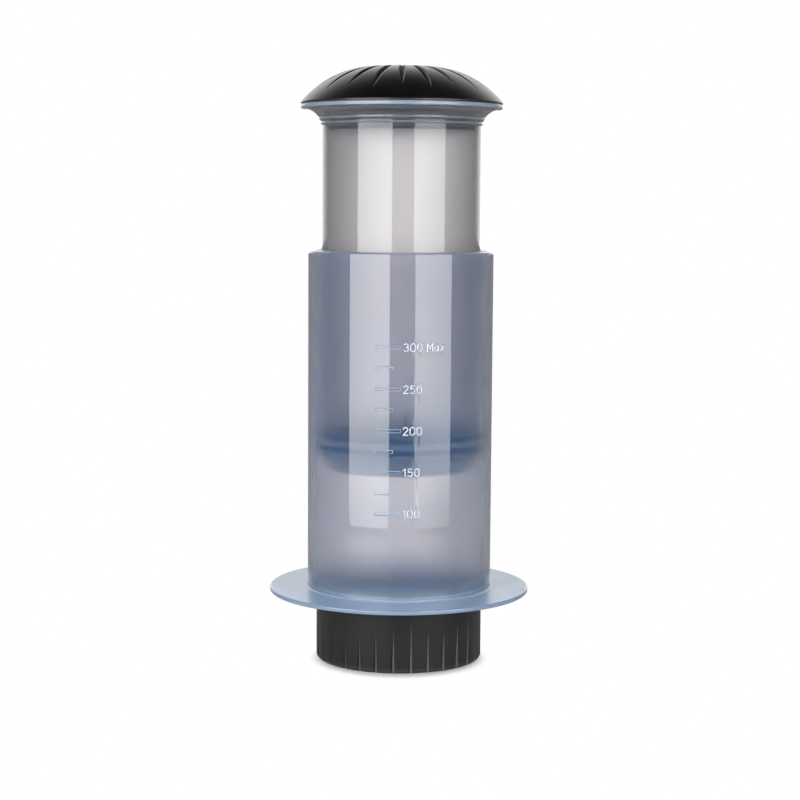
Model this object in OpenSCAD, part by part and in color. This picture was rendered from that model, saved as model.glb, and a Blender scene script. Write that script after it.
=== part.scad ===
// Manual coffee press: a barrel with a flange, a twist-on filter cap under it, and a hollow
// plunger with a silicone seal and a domed lid. It stands on the cap, Z is the axis, and the
// scale faces -Y. The plunger is drawn part of the way out.

/* [Whole press] */
// Height of the press with the plunger pushed home
closed_h = 181.5; // [178:0.5:200]
// How far the plunger stands drawn out of the chamber
drawn = 45.4; // [20:0.1:75]

/* [Chamber] */
// Outer radius of the barrel
barrel_r = 35.4; // [34.6:0.1:37]
// Wall of the barrel, out from the bore that the seal runs in
barrel_wall = 3.3; // [2.6:0.1:4]
// Rounding of the barrel's rim
rim_round = 0.8; // [0.3:0.1:1.2]
// Radius of the flange that rests on a mug
flange_r = 50; // [46:0.5:60]
// Thickness of the flange
flange_t = 1.7; // [1.4:0.1:2]
// Rounding of the flange's edge
flange_round = 0.55; // [0.2:0.05:0.65]
// Depth of the recess under the flange that takes the cap's rim
seat_depth = 0.3; // [0.2:0.05:0.5]
// Radius of the fillet between the barrel and the flange
foot_round = 1; // [0.5:0.1:3]
// Thickness of the chamber's floor around the neck
floor_t = 2.1; // [1.6:0.1:3]
// Radius of the corner between the bore and the floor
floor_round = 1.2; // [0.5:0.1:2]
// How much narrower than the barrel's bore the neck's bore is, on the radius
neck_step = 6.6; // [6:0.1:8]
// Wall of the neck
neck_wall = 2.4; // [1.8:0.1:3]
// Chamfer at both ends of the neck's bore
neck_chamfer = 0.6; // [0.3:0.1:1]

/* [Scale] */
// First volume on the scale, in millilitres
first_ml = 100; // [50:50:150]
// Least height of plain barrel over the scale, for the seal to enter
scale_margin = 25; // [20:0.5:40]
// Volume from one mark to the next, in millilitres
step_ml = 25; // [25, 50]
// Volume from one long mark to the next, in millilitres
long_step_ml = 50; // [50, 100]
// Height of the scale's zero over the chamber's floor
scale_zero_rise = 2; // [0:0.1:4]
// Length of a long mark around the barrel
long_mark_w = 9.3; // [7:0.1:12]
// Length of a short mark around the barrel
short_mark_w = 6.5; // [4:0.1:7]
// Distance from the front line to the marks' left ends
mark_left = 9.1; // [7:0.1:12]
// Height of a mark
mark_h = 1.1; // [0.6:0.1:1.5]
// Relief of a mark over the barrel
mark_relief = 0.3; // [0.15:0.05:0.5]

/* [Twist lock] */
// Number of lugs on the neck
lug_count = 4; // [3:1:4]
// Height of the lugs' undersides over the neck's end
lug_rise = 4; // [3:0.1:5]
// Reach of a lug out of the neck
lug_reach = 1.3; // [1:0.1:1.6]
// Height of a lug
lug_h = 2.2; // [1.6:0.1:3]
// Angle that a lug spans
lug_angle = 28; // [20:1:30]
// Height of a ledge in the cap
ledge_h = 2.2; // [1.6:0.1:3]
// Angle that a ledge spans
ledge_angle = 40; // [34:1:44]
// Angle that a stop beside a ledge spans
stop_angle = 3; // [2:1:4]

/* [Filter cap] */
// Height of the cap
cap_h = 26.2; // [24:0.1:28]
// Wall of the cap
cap_wall = 2.5; // [2:0.1:3]
// Depth of the open collar under the perforated floor
collar_h = 10.2; // [8:0.1:11]
// Thickness of the perforated floor
sieve_t = 2.5; // [1.5:0.1:3]
// Radius of a drip hole
drip_r = 0.9; // [0.6:0.05:1.1]
// Distance between neighbouring drip holes
drip_pitch = 4.6; // [3.6:0.1:6]
// Rounding of the cap's lower edge
cap_foot_round = 1.2; // [0.6:0.1:1.5]
// Rounding of the cap's upper edge
cap_rim_round = 0.5; // [0.2:0.1:1]
// Number of grip grooves around the cap
grip_count = 30; // [20:5:40]
// Width of a grip groove at the cap's lower edge
grip_w = 2.2; // [0.8:0.1:3]
// Depth of a grip groove at the cap's lower edge
grip_depth = 0.95; // [0.4:0.05:1.2]

/* [Paper filter] */
// Thickness of the paper
paper_t = 0.3; // [0.2:0.05:0.5]
// How far the paper reaches under the neck's end
paper_lap = 2.1; // [1.5:0.1:2.3]

/* [Plunger tube] */
// Gap between the bore and the plunger tube
tube_gap = 1.6; // [1.2:0.1:2.5]
// Wall of the tube
tube_wall = 2.3; // [1.8:0.1:3]
// How far the lip, and the lid on it, reach out past the barrel
lip_reach = 3; // [2:0.1:5]
// Thickness of the lip
lip_t = 1.6; // [1.3:0.1:2]
// Rounding of the lip's edge
lip_round = 0.5; // [0.2:0.05:0.6]
// Height of the lip's underside over the chamber's rim with the plunger home
lip_rise = 8.2; // [5:0.1:12]
// Length of the stem that the seal is snapped over
stem_l = 7; // [5:0.1:8]
// Height of the head under the stem
head_h = 4.2; // [3:0.1:5]
// How far the head reaches out over the stem
head_reach = 3.4; // [2:0.1:4]

/* [Plunger seal] */
// Thickness of the seal's bottom web
seal_web = 4.1; // [2.5:0.1:4.5]
// Gap between the bore and the seal's side
seal_gap = 0.9; // [0.6:0.1:1.3]
// Thickness of the seal's side around the head
seal_side = 4.7; // [3:0.1:6]
// Height of the seal's tapered foot
seal_taper_h = 7; // [3:0.1:7.4]
// How far the foot draws in at its lower end
seal_taper_w = 4.5; // [2:0.1:5]
// Height of a lip ring
ring_h = 2.2; // [1.2:0.1:3]
// Distance from the seal's top to the upper lip ring
ring_drop = 1.5; // [1.2:0.1:2.5]
// Distance between the two lip rings
ring_pitch = 4.4; // [3.5:0.1:5.5]

/* [Lid] */
// Height of the lid over the lip
lid_h = 14.2; // [13:0.1:16]
// Radius of the arc of the dome's shoulder
crown_r = 36.6; // [34:0.1:42]
// Height of the dome's upright edge
edge_h = 0.4; // [0.2:0.1:0.8]
// Height of the shadow gap between the dome's edge and the lip
shadow_h = 0.3; // [0.2:0.1:0.6]
// Depth of the shadow gap
shadow_w = 0.9; // [0.5:0.1:1.4]
// Wall of the dome
dome_wall = 3; // [2.2:0.1:3.4]
// Number of grooves over the dome
flute_count = 20; // [12:2:24]
// Depth of a dome groove at its middle
flute_depth = 1.15; // [0.4:0.05:1.4]
// Width of a dome groove at its middle
flute_w = 2.5; // [0.8:0.1:3]
// Width of the plain rim outside the long grooves
flute_margin = 3.6; // [2.5:0.1:6]
// How far each groove runs over the flat crown, as an angle of the shoulder's arc
flute_lead = 4; // [0:0.5:6]
// How much further in the short grooves end
flute_stagger = 1.4; // [0:0.1:4]
// Thickness of the liner's plate
liner_t = 1.8; // [1.2:0.1:2.4]
// Depth of the spigot in the tube
spigot_l = 10; // [9:0.1:12]
// Wall of the spigot
spigot_wall = 3.4; // [3:0.1:4]
// Gap between the spigot and the tube
spigot_gap = 0.5; // [0.3:0.05:0.8]
// Radius of the pegs that hold the liner in the dome
peg_r = 1.3; // [1:0.1:1.6]
// Length of the pegs
peg_l = 4.5; // [3:0.1:5]
// Radius of the bosses that take the pegs
boss_r = 3; // [2.5:0.1:3.5]
// Number of pegs
peg_count = 3; // [3:1:4]
// Section radius of the gasket ring
gasket_r = 1; // [0.7:0.05:1.2]
// Height of the gasket ring over the spigot's end
gasket_rise = 1.9; // [1.6:0.1:2.5]

/* [Fits] */
// Gap between pieces that turn or slide past each other
run_gap = 0.3; // [0.2:0.05:0.5]
// Gap between a seal or a gasket and the wall that it wipes
wipe_gap = 0.08; // [0.04:0.01:0.1]
// Gap between pieces that are pushed or clamped together
snug_gap = 0.1; // [0.05:0.01:0.15]

/* [Hidden] */
$fn = 96;

// Steps in the quarter of a rounded edge, and in the wide curve of the flare
edge_steps = 6;
flare_steps = 18;
// Angle on the plan that faces the viewer of the scale
front_angle = -90;
// Overrun of every cut past the face that it opens, as a length and as an angle
over = 1;
overturn = 1;
// How deep a lug, ledge, mark or boss is rooted in the wall that carries it
root = 0.4;

// Heights of the chamber
seat_z = cap_h + run_gap;
flange_z = seat_z - seat_depth;
flange_top_z = flange_z + flange_t;
floor_z = flange_z + floor_t;
lip_home_z = closed_h - lid_h - lip_t;
rim_z = lip_home_z - lip_rise;

// Heights and radii of the twist lock, from the barrel's bore and the neck outwards
bore_r = barrel_r - barrel_wall;
neck_bore_r = bore_r - neck_step;
neck_r = neck_bore_r + neck_wall;
lug_r = neck_r + lug_reach;
cap_bore_r = lug_r + run_gap;
cap_r = cap_bore_r + cap_wall;
seat_r = cap_r + run_gap;
sieve_z = collar_h + sieve_t;
neck_end_z = sieve_z + paper_t + snug_gap;
lug_z = neck_end_z + lug_rise;
ledge_z = lug_z + lug_h + snug_gap;
lug_pitch = 360 / lug_count;
// Play between a lug and the stop that it meets, as an angle
stop_play = 1;

// Radii and heights of the plunger
tube_r = bore_r - tube_gap;
tube_bore_r = tube_r - tube_wall;
seal_r = bore_r - seal_gap;
seal_ring_r = bore_r - wipe_gap;
head_r = seal_r - seal_side;
stem_r = head_r - head_reach;
core_r = stem_r - tube_wall;
seal_z = floor_z + run_gap + drawn;
head_z = seal_z + seal_web;
stem_z = head_z + head_h;
tube_end_z = stem_z + stem_l;
lip_z = lip_home_z + drawn;
lip_top_z = lip_z + lip_t;
lip_r = barrel_r + lip_reach;
flare_r = lip_r - tube_r - lip_round;
flare_centre_r = tube_r + flare_r;
flare_z = lip_z - flare_r;
flare_bore_r = flare_r + tube_wall;
// Angle at which the flared bore meets the lip's top
mouth_angle = asin((lip_top_z - flare_z) / flare_bore_r);

// Scale: the rise for a millilitre in the round bore, and the last long mark that fits
mm3_per_ml = 1000;
rise_per_ml = mm3_per_ml / (PI * bore_r * bore_r);
scale_zero_z = floor_z + scale_zero_rise;
top_ml = (rim_z - scale_margin - scale_zero_z) / rise_per_ml;
last_ml = floor(top_ml / long_step_ml) * long_step_ml;

// Dome: the centre of the shoulder's arc, and its inner arc
dome_z = lip_top_z + shadow_h;
dome_top_z = lip_top_z + lid_h;
crown_z = dome_top_z - crown_r;
crown_centre_r = lip_r - sqrt(crown_r * crown_r - pow(dome_z + edge_h - crown_z, 2));
crown_bore_r = crown_r - dome_wall;
liner_top_z = lip_top_z + liner_t;
lid_bore_r = crown_centre_r + sqrt(crown_bore_r * crown_bore_r - pow(liner_top_z - crown_z, 2));

// Liner, spigot and gasket
liner_r = lid_bore_r - snug_gap;
spigot_r = tube_bore_r - spigot_gap;
spigot_bore_r = spigot_r - spigot_wall;
spigot_z = lip_top_z - spigot_l;
gasket_z = spigot_z + gasket_rise;
gasket_centre_r = tube_bore_r - wipe_gap - gasket_r;
peg_place_share = 0.8;
peg_place_r = spigot_bore_r * peg_place_share;

// Heights at which the grip grooves run out, as shares of the cap's height, and their turn
grip_top_shares = [0.73, 0.79, 0.65, 0.63, 0.69];
grip_turn = -3.5;

// Points of an arc about a centre, from one angle to another
function arc(centre, r, from, to, steps) =
    [for (i = [0 : steps]) let (a = from + (to - from) * i / steps) centre + r * [cos(a), sin(a)]];

// Angle that a length spans around a radius
function turn_of(length, r) = length / r * 180 / PI;

// A block of ring between two radii, centred on the X axis
module ring_block(inner_r, outer_r, height, angle) {
    rotate([0, 0, -angle / 2])
        rotate_extrude(angle = angle)
            translate([inner_r, 0])
                square([outer_r - inner_r, height]);
}

// One raised mark on the barrel's front
module mark(ml) {
    width = ml % long_step_ml == 0 ? long_mark_w : short_mark_w;
    span = turn_of(width, barrel_r);
    left = turn_of(mark_left, barrel_r);
    translate([0, 0, scale_zero_z + ml * rise_per_ml - mark_h / 2])
        rotate([0, 0, front_angle - left + span / 2])
            ring_block(barrel_r - root, barrel_r + mark_relief, mark_h, span);
}

// The chamber's half section: neck, cap's recess, floor, flange and barrel
module chamber_section() {
    polygon(concat(
        [
            [neck_bore_r + neck_chamfer, neck_end_z],
            [neck_r, neck_end_z],
            [neck_r, seat_z],
            [seat_r, seat_z],
            [seat_r, flange_z]
        ],
        arc([flange_r - flange_round, flange_z + flange_round], flange_round, -90, 0, edge_steps),
        arc([flange_r - flange_round, flange_top_z - flange_round], flange_round, 0, 90, edge_steps),
        arc([barrel_r + foot_round, flange_top_z + foot_round], foot_round, 270, 180, edge_steps),
        arc([barrel_r - rim_round, rim_z - rim_round], rim_round, 0, 90, edge_steps),
        arc([bore_r + rim_round, rim_z - rim_round], rim_round, 90, 180, edge_steps),
        arc([bore_r - floor_round, floor_z + floor_round], floor_round, 0, -90, edge_steps),
        [
            [neck_bore_r + neck_chamfer, floor_z],
            [neck_bore_r, floor_z - neck_chamfer],
            [neck_bore_r, neck_end_z + neck_chamfer]
        ]
    ));
}

module brew_chamber() {
    color([0.62, 0.68, 0.78, 0.6])
    union() {
        rotate_extrude() chamber_section();
        for (ml = [first_ml : step_ml : last_ml]) mark(ml);
        for (i = [0 : lug_count - 1])
            translate([0, 0, lug_z])
                rotate([0, 0, i * lug_pitch])
                    ring_block(neck_r - root, lug_r, lug_h, lug_angle);
    }
}

// The filter cap's half section: collar, perforated floor and wall
module cap_section() {
    polygon(concat(
        [[0, collar_h], [cap_bore_r, collar_h], [cap_bore_r, 0]],
        arc([cap_r - cap_foot_round, cap_foot_round], cap_foot_round, -90, 0, edge_steps),
        arc([cap_r - cap_rim_round, cap_h - cap_rim_round], cap_rim_round, 0, 90, edge_steps),
        [[cap_bore_r, cap_h], [cap_bore_r, sieve_z], [0, sieve_z]]
    ));
}

// Drip holes on a triangular grid, as far out as the neck's bore lets them drip
module drip_holes() {
    rings = floor((neck_bore_r - neck_chamfer - drip_r) / drip_pitch);
    row_pitch = drip_pitch * sqrt(3) / 2;
    for (row = [-rings : rings])
        for (i = [0 : 2 * rings - abs(row)])
            translate([(i - rings + abs(row) / 2) * drip_pitch, row * row_pitch, collar_h - over])
                cylinder(r = drip_r, h = sieve_t + 2 * over, $fn = 24);
}

// One grip groove: a V that runs out of the cap's wall at its upper end
module grip_groove(top_z) {
    slant = atan(grip_depth / top_z);
    reach = grip_depth + over;
    half_w = grip_w / 2 / grip_depth * reach;
    translate([cap_r, 0, top_z])
        rotate([0, slant, 0])
            translate([0, 0, -top_z - over])
                linear_extrude(height = top_z + 2 * over)
                    polygon([[0, 0], [reach, -half_w], [reach, half_w]]);
}

// One ledge that hangs on a lug, with the stop that ends the twist
module ledge() {
    translate([0, 0, ledge_z])
        ring_block(neck_r + run_gap, cap_bore_r + root, ledge_h, ledge_angle);
    translate([0, 0, lug_z])
        rotate([0, 0, -(lug_angle + stop_angle) / 2 - stop_play])
            ring_block(neck_r + run_gap, cap_bore_r + root, ledge_z + ledge_h - lug_z, stop_angle);
}

module filter_cap() {
    color([0.16, 0.16, 0.17])
    union() {
        difference() {
            rotate_extrude() cap_section();
            drip_holes();
            for (i = [0 : grip_count - 1])
                rotate([0, 0, front_angle + grip_turn + i * 360 / grip_count])
                    grip_groove(cap_h * grip_top_shares[i % len(grip_top_shares)]);
        }
        for (i = [0 : lug_count - 1])
            rotate([0, 0, i * lug_pitch]) ledge();
    }
}

module paper_filter() {
    color([0.93, 0.9, 0.84])
    translate([0, 0, sieve_z])
        cylinder(r = neck_bore_r + paper_lap, h = paper_t);
}

// The plunger's half section: head, stem, tube and flared lip
module tube_section() {
    polygon(concat(
        [
            [0, head_z],
            [stem_r, head_z],
            [head_r, head_z + (head_r - stem_r) / 2],
            [head_r, stem_z],
            [stem_r, stem_z],
            [stem_r, tube_end_z],
            [tube_r, tube_end_z]
        ],
        arc([flare_centre_r, flare_z], flare_r, 180, 90, flare_steps),
        arc([lip_r - lip_round, lip_z + lip_round], lip_round, -90, 0, edge_steps),
        arc([lip_r - lip_round, lip_top_z - lip_round], lip_round, 0, 90, edge_steps),
        arc([flare_centre_r, flare_z], flare_bore_r, 180 - mouth_angle, 180, flare_steps),
        [
            [tube_bore_r, tube_end_z + tube_wall],
            [core_r, tube_end_z + tube_wall],
            [core_r, head_z + tube_wall],
            [0, head_z + tube_wall]
        ]
    ));
}

module plunger_tube() {
    color([0.75, 0.73, 0.73, 0.6])
    rotate_extrude() tube_section();
}

// The outline of a lip ring, bulging out of the seal's side
function seal_ring(z) =
    [for (i = [0 : edge_steps]) let (a = -90 + 180 * i / edge_steps)
        [seal_r + (seal_ring_r - seal_r) * cos(a), z + ring_h / 2 * sin(a)]];

// The seal's half section: a cup that is snapped over the plunger's head
module seal_section() {
    polygon(concat(
        [[0, seal_z], [seal_r - seal_taper_w, seal_z], [seal_r, seal_z + seal_taper_h]],
        seal_ring(tube_end_z - ring_drop - ring_pitch),
        seal_ring(tube_end_z - ring_drop),
        [
            [seal_r, tube_end_z],
            [stem_r + snug_gap, tube_end_z],
            [stem_r + snug_gap, stem_z + snug_gap],
            [head_r + snug_gap, stem_z + snug_gap],
            [head_r + snug_gap, head_z],
            [0, head_z]
        ]
    ));
}

module plunger_seal() {
    color([0.24, 0.34, 0.46])
    rotate_extrude() seal_section();
}

// Half section of a dome: a flat crown with a round shoulder, down to a height
module crown_section(r, from_z) {
    intersection() {
        union() {
            translate([crown_centre_r, crown_z]) circle(r);
            translate([0, crown_z]) square([crown_centre_r, r]);
        }
        translate([0, from_z]) square([lip_r, dome_top_z - from_z]);
    }
}

// The dome's half section before its grooves
module dome_section() {
    difference() {
        union() {
            crown_section(crown_r, dome_z + edge_h);
            translate([0, dome_z]) square([lip_r, edge_h]);
            translate([0, lip_top_z]) square([lip_r - shadow_w, shadow_h]);
        }
        crown_section(crown_bore_r, liner_top_z);
        translate([-over, lip_top_z - over]) square([lid_bore_r + over, liner_t + over]);
    }
}

// One groove of the dome: a V swept along an arc that dips under the shoulder between two radii
module dome_flute(end_r) {
    end_angle = asin((end_r - crown_centre_r) / crown_r);
    middle = (end_angle - flute_lead) / 2;
    half_angle = (end_angle + flute_lead) / 2;
    shift = (pow(crown_r - flute_depth, 2) - crown_r * crown_r)
        / (2 * (crown_r - flute_depth - crown_r * cos(half_angle)));
    path_r = crown_r - flute_depth - shift;
    half_span = asin(crown_r * sin(half_angle) / path_r);
    reach = flute_depth + over;
    half_w = flute_w / 2 / flute_depth * reach;
    translate([crown_centre_r + shift * sin(middle), 0, crown_z + shift * cos(middle)])
        rotate([90, 0, 0])
            rotate([0, 0, 90 - middle - half_span - overturn])
                rotate_extrude(angle = 2 * (half_span + overturn))
                    polygon([[path_r, 0], [path_r + reach, -half_w], [path_r + reach, half_w]]);
}

module dome_lid() {
    color([0.1, 0.1, 0.11])
    difference() {
        union() {
            rotate_extrude() dome_section();
            for (i = [0 : peg_count - 1])
                rotate([0, 0, i * 360 / peg_count])
                    translate([peg_place_r, 0, liner_top_z])
                        cylinder(r = boss_r, h = dome_top_z - dome_wall + root - liner_top_z);
        }
        for (i = [0 : flute_count - 1])
            rotate([0, 0, front_angle + i * 360 / flute_count])
                dome_flute(lip_r - flute_margin - (i % 2 == 0 ? flute_stagger : 0));
        for (i = [0 : peg_count - 1])
            rotate([0, 0, i * 360 / peg_count])
                translate([peg_place_r, 0, liner_top_z - over])
                    cylinder(r = peg_r + snug_gap, h = peg_l + snug_gap + over);
    }
}

// The liner's half section: the plate and the spigot with the gasket's groove
module liner_section() {
    difference() {
        union() {
            translate([0, lip_top_z]) square([liner_r, liner_t]);
            translate([spigot_bore_r, spigot_z]) square([spigot_wall, spigot_l + root]);
        }
        translate([gasket_centre_r - gasket_r - snug_gap, gasket_z - gasket_r - snug_gap])
            square([2 * gasket_r + over, 2 * (gasket_r + snug_gap)]);
    }
}

module lid_liner() {
    color([0.14, 0.14, 0.15])
    union() {
        rotate_extrude() liner_section();
        for (i = [0 : peg_count - 1])
            rotate([0, 0, i * 360 / peg_count])
                translate([peg_place_r, 0, liner_top_z - root])
                    cylinder(r = peg_r, h = peg_l + root);
    }
}

module lid_gasket() {
    color([0.3, 0.3, 0.32])
    translate([0, 0, gasket_z])
        rotate_extrude()
            translate([gasket_centre_r, 0])
                circle(gasket_r);
}

brew_chamber();
filter_cap();
paper_filter();
plunger_tube();
plunger_seal();
dome_lid();
lid_liner();
lid_gasket();
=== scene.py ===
"""Looks of the manual coffee press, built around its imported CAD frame.

Z is the press's axis and the scale faces -Y. Shapes are worked out in millimetres, and meshes are in metres.
"""

import logging
import math
from collections.abc import Sequence
from dataclasses import dataclass, field
from enum import Enum
from typing import Any

import bmesh
import bpy
import numpy as np
from mathutils import Matrix
from mathutils.geometry import delaunay_2d_cdt

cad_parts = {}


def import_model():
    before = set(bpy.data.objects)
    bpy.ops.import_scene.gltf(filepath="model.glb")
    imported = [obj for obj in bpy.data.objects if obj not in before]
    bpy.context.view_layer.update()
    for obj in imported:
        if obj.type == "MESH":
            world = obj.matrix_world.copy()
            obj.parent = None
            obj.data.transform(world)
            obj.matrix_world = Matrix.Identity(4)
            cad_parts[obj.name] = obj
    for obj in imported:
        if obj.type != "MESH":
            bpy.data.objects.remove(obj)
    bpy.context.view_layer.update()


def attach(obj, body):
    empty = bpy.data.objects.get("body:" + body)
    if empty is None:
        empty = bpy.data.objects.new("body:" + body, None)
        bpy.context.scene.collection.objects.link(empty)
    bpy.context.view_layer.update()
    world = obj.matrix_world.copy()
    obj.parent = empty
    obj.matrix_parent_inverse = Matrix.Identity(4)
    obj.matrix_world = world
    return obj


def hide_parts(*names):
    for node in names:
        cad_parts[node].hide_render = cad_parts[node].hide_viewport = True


LOG = logging.getLogger("coffee_press")
METRES = 0.001
FRONT = math.radians(-90)
FULL_BLOOM = 1.0
FULL_MARK = 1.5
FAR = 9.0
NEAR = 0.01
SAME = 0.001
CORNER_WEAR = 0.2

Colour = tuple[float, float, float]
Values = dict[str | int, Any]


class Socket:
    """An output of a shader node, whose operators add Math nodes."""

    def __init__(self, graph: "Graph", link: bpy.types.NodeSocket) -> None:
        """Keeps the node tree and the output that stand behind the value."""
        self.graph = graph
        self.link = link

    def math(self, operation: str, *others: "Socket | float") -> "Socket":
        """Adds one Math node.

        Args:
            operation: Name of the Math node's operation.
            others: The second and third values, where the operation has them.

        Returns:
            The node's result.
        """
        return self.graph.add("ShaderNodeMath", {"operation": operation}, dict(enumerate((self, *others))))

    def __add__(self, other: "Socket | float") -> "Socket":
        """Returns self + other."""
        return self.math("ADD", other)

    def __radd__(self, other: float) -> "Socket":
        """Returns other + self."""
        return self.math("ADD", other)

    def __sub__(self, other: "Socket | float") -> "Socket":
        """Returns self - other."""
        return self.math("SUBTRACT", other)

    def __rsub__(self, other: float) -> "Socket":
        """Returns other - self."""
        return self.math("MULTIPLY_ADD", -1.0, other)

    def __mul__(self, other: "Socket | float") -> "Socket":
        """Returns self * other."""
        return self.math("MULTIPLY", other)

    def __rmul__(self, other: float) -> "Socket":
        """Returns other * self."""
        return self.math("MULTIPLY", other)

    def step(self, low: float, high: float, start: float = 0.0, end: float = 1.0) -> "Socket":
        """Turns the value into a smooth step.

        Args:
            low: Value at which the step starts.
            high: Value at which it ends.
            start: Result at and before low.
            end: Result at and past high.

        Returns:
            The smooth step from start to end.
        """
        return self.graph.add(
            "ShaderNodeMapRange",
            {"interpolation_type": "SMOOTHSTEP"},
            {"Value": self, "From Min": low, "From Max": high, "To Min": start, "To Max": end},
        )


class Graph:
    """The node tree of a material or of the world."""

    def __init__(self, tree: bpy.types.NodeTree) -> None:
        """Empties the tree, so that it holds only what is added here."""
        self.tree = tree
        tree.nodes.clear()

    def add(
        self,
        kind: str,
        settings: dict[str, Any] | None = None,
        values: Values | None = None,
        output: str | int = 0,
    ) -> Socket:
        """Adds one node.

        Args:
            kind: The node's type name.
            settings: The node's own settings, which are set first.
            values: Numbers, colours or links for its inputs.
            output: The output that is returned.

        Returns:
            That output as a value.
        """
        node = self.tree.nodes.new(kind)
        for name, value in (settings or {}).items():
            setattr(node, name, value)
        for key, value in (values or {}).items():
            if isinstance(value, Socket):
                self.tree.links.new(value.link, node.inputs[key])
            else:
                node.inputs[key].default_value = value
        return Socket(self, node.outputs[output]) if node.outputs else Socket(self, None)

    def blend(self, factor: Socket, first: "Colour | Socket", second: Colour) -> Socket:
        """Returns a colour between two colours, of which the first may be a link."""
        start = first if isinstance(first, Socket) else (*first, 1.0)
        return self.add("ShaderNodeMix", {"data_type": "RGBA"}, {0: factor, 6: start, 7: (*second, 1.0)}, 2)

    def place(self) -> Socket:
        """Returns the place on the object, in metres."""
        return self.add("ShaderNodeTexCoord", output="Object")

    def axis(self, vector: Socket, name: str) -> Socket:
        """Returns one axis of a vector."""
        return self.add("ShaderNodeSeparateXYZ", {}, {"Vector": vector}, name)

    def ray(self, kind: str) -> Socket:
        """Returns 1 for rays of one kind, such as Camera, and 0 for the others."""
        return self.add("ShaderNodeLightPath", output=f"Is {kind} Ray")

    def emission(self, strength: "Socket | float") -> Socket:
        """Returns white light of a strength."""
        return self.add("ShaderNodeEmission", {}, {"Strength": strength})

    def principled(self, values: Values) -> Socket:
        """Returns a Principled surface."""
        return self.add("ShaderNodeBsdfPrincipled", {}, values)

    def noise(self, cell: float, detail: float = 2.0, stretch: Colour = (1.0, 1.0, 1.0)) -> Socket:
        """Adds noise on Object coordinates.

        Args:
            cell: Size of the noise's cells in millimetres.
            detail: Octaves of the noise.
            stretch: Scale of the pattern along each axis.

        Returns:
            The noise, from 0 to 1 about 0.5.
        """
        scaled = self.add("ShaderNodeMapping", {}, {"Vector": self.place(), "Scale": stretch})
        values = {"Vector": scaled, "Scale": 1 / (cell * METRES), "Detail": detail}
        return self.add("ShaderNodeTexNoise", {}, values)

    def attribute(self, name: str) -> Socket:
        """Returns a number that the mesh carries on its points."""
        return self.add("ShaderNodeAttribute", {"attribute_name": name}, {}, "Fac")

    def bump(self, height: Socket, depth: float) -> Socket:
        """Returns a normal that follows a height, whose full range is depth millimetres."""
        return self.add("ShaderNodeBump", {}, {"Height": height, "Distance": depth * METRES}, "Normal")

    def finish(self, surface: Socket, volume: Socket | None = None) -> None:
        """Links a surface, and a volume where there is one, to the material's output."""
        values = {"Surface": surface} if volume is None else {"Surface": surface, "Volume": volume}
        self.add("ShaderNodeOutputMaterial", {}, values)


def new_material(name: str) -> tuple[bpy.types.Material, Graph]:
    """Returns a new material and its empty node tree."""
    material = bpy.data.materials.new(name)
    material.use_nodes = True
    return material, Graph(material.node_tree)


@dataclass(frozen=True)
class ClearPlastic:
    """Translucent moulded plastic, polished on the outside and hazy on the inside.

    Mixes a clear surface with a milky one, stronger and paler where rubbed and where a highlight is painted.
    """

    name: str
    tint: Colour
    absorbed: Colour
    density: float
    milk: Colour
    milk_share: float
    rubbed: Colour
    marked: Colour
    inner_roughness: float
    rubbed_share: float = 0.92
    outer_roughness: float = 0.02
    ior: float = 1.57
    coat: float = 0.0
    wave_cell: float = 26.0
    wave_stretch: Colour = (1.0, 1.0, 0.3)
    wave_depth: float = 0.004
    haze_cell: float = 9.0
    haze_spread: float = 0.16
    milk_cell: float = 30.0
    milk_spread: float = 0.06
    bloom_gain: float = 5.0

    def material(self) -> bpy.types.Material:
        """Builds the material.

        Returns:
            The material, whose roughness follows the mesh's "inner" attribute, and its milk "edge".
        """
        material, graph = new_material(self.name)
        inner_least = self.inner_roughness - self.haze_spread / 2
        haze = graph.noise(self.haze_cell, 3) * self.haze_spread + inner_least
        gloss = {
            "Roughness": graph.attribute("inner") * (haze - self.outer_roughness) + self.outer_roughness,
            "IOR": self.ior,
            "Coat Weight": self.coat,
            "Coat Roughness": self.outer_roughness,
            "Normal": graph.bump(graph.noise(self.wave_cell, 1, self.wave_stretch), self.wave_depth),
        }
        clear = graph.principled({"Base Color": (*self.tint, 1.0), "Transmission Weight": 1.0, **gloss})
        # Where the edge attribute is set, the rubbed colour is blended in: wear, and on some pieces painted
        # highlights.
        rubbed = graph.attribute("edge")
        bloom = graph.blend((rubbed * self.bloom_gain).math("MINIMUM", 1.0), self.milk, self.rubbed)
        colour = graph.blend(rubbed.step(FULL_BLOOM, FULL_MARK), bloom, self.marked)
        milk = graph.principled({"Base Color": colour, **gloss})
        least_milk = self.milk_share - self.milk_spread / 2
        milk_share = graph.noise(self.milk_cell, 2) * self.milk_spread + least_milk
        share = rubbed.math("MINIMUM", 1.0) * (self.rubbed_share - milk_share) + milk_share
        surface = graph.add("ShaderNodeMixShader", {}, {0: share, 1: clear, 2: milk})
        taken = {"Color": (*self.absorbed, 1.0), "Density": self.density}
        graph.finish(surface, graph.add("ShaderNodeVolumeAbsorption", {}, taken))
        return material


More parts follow.
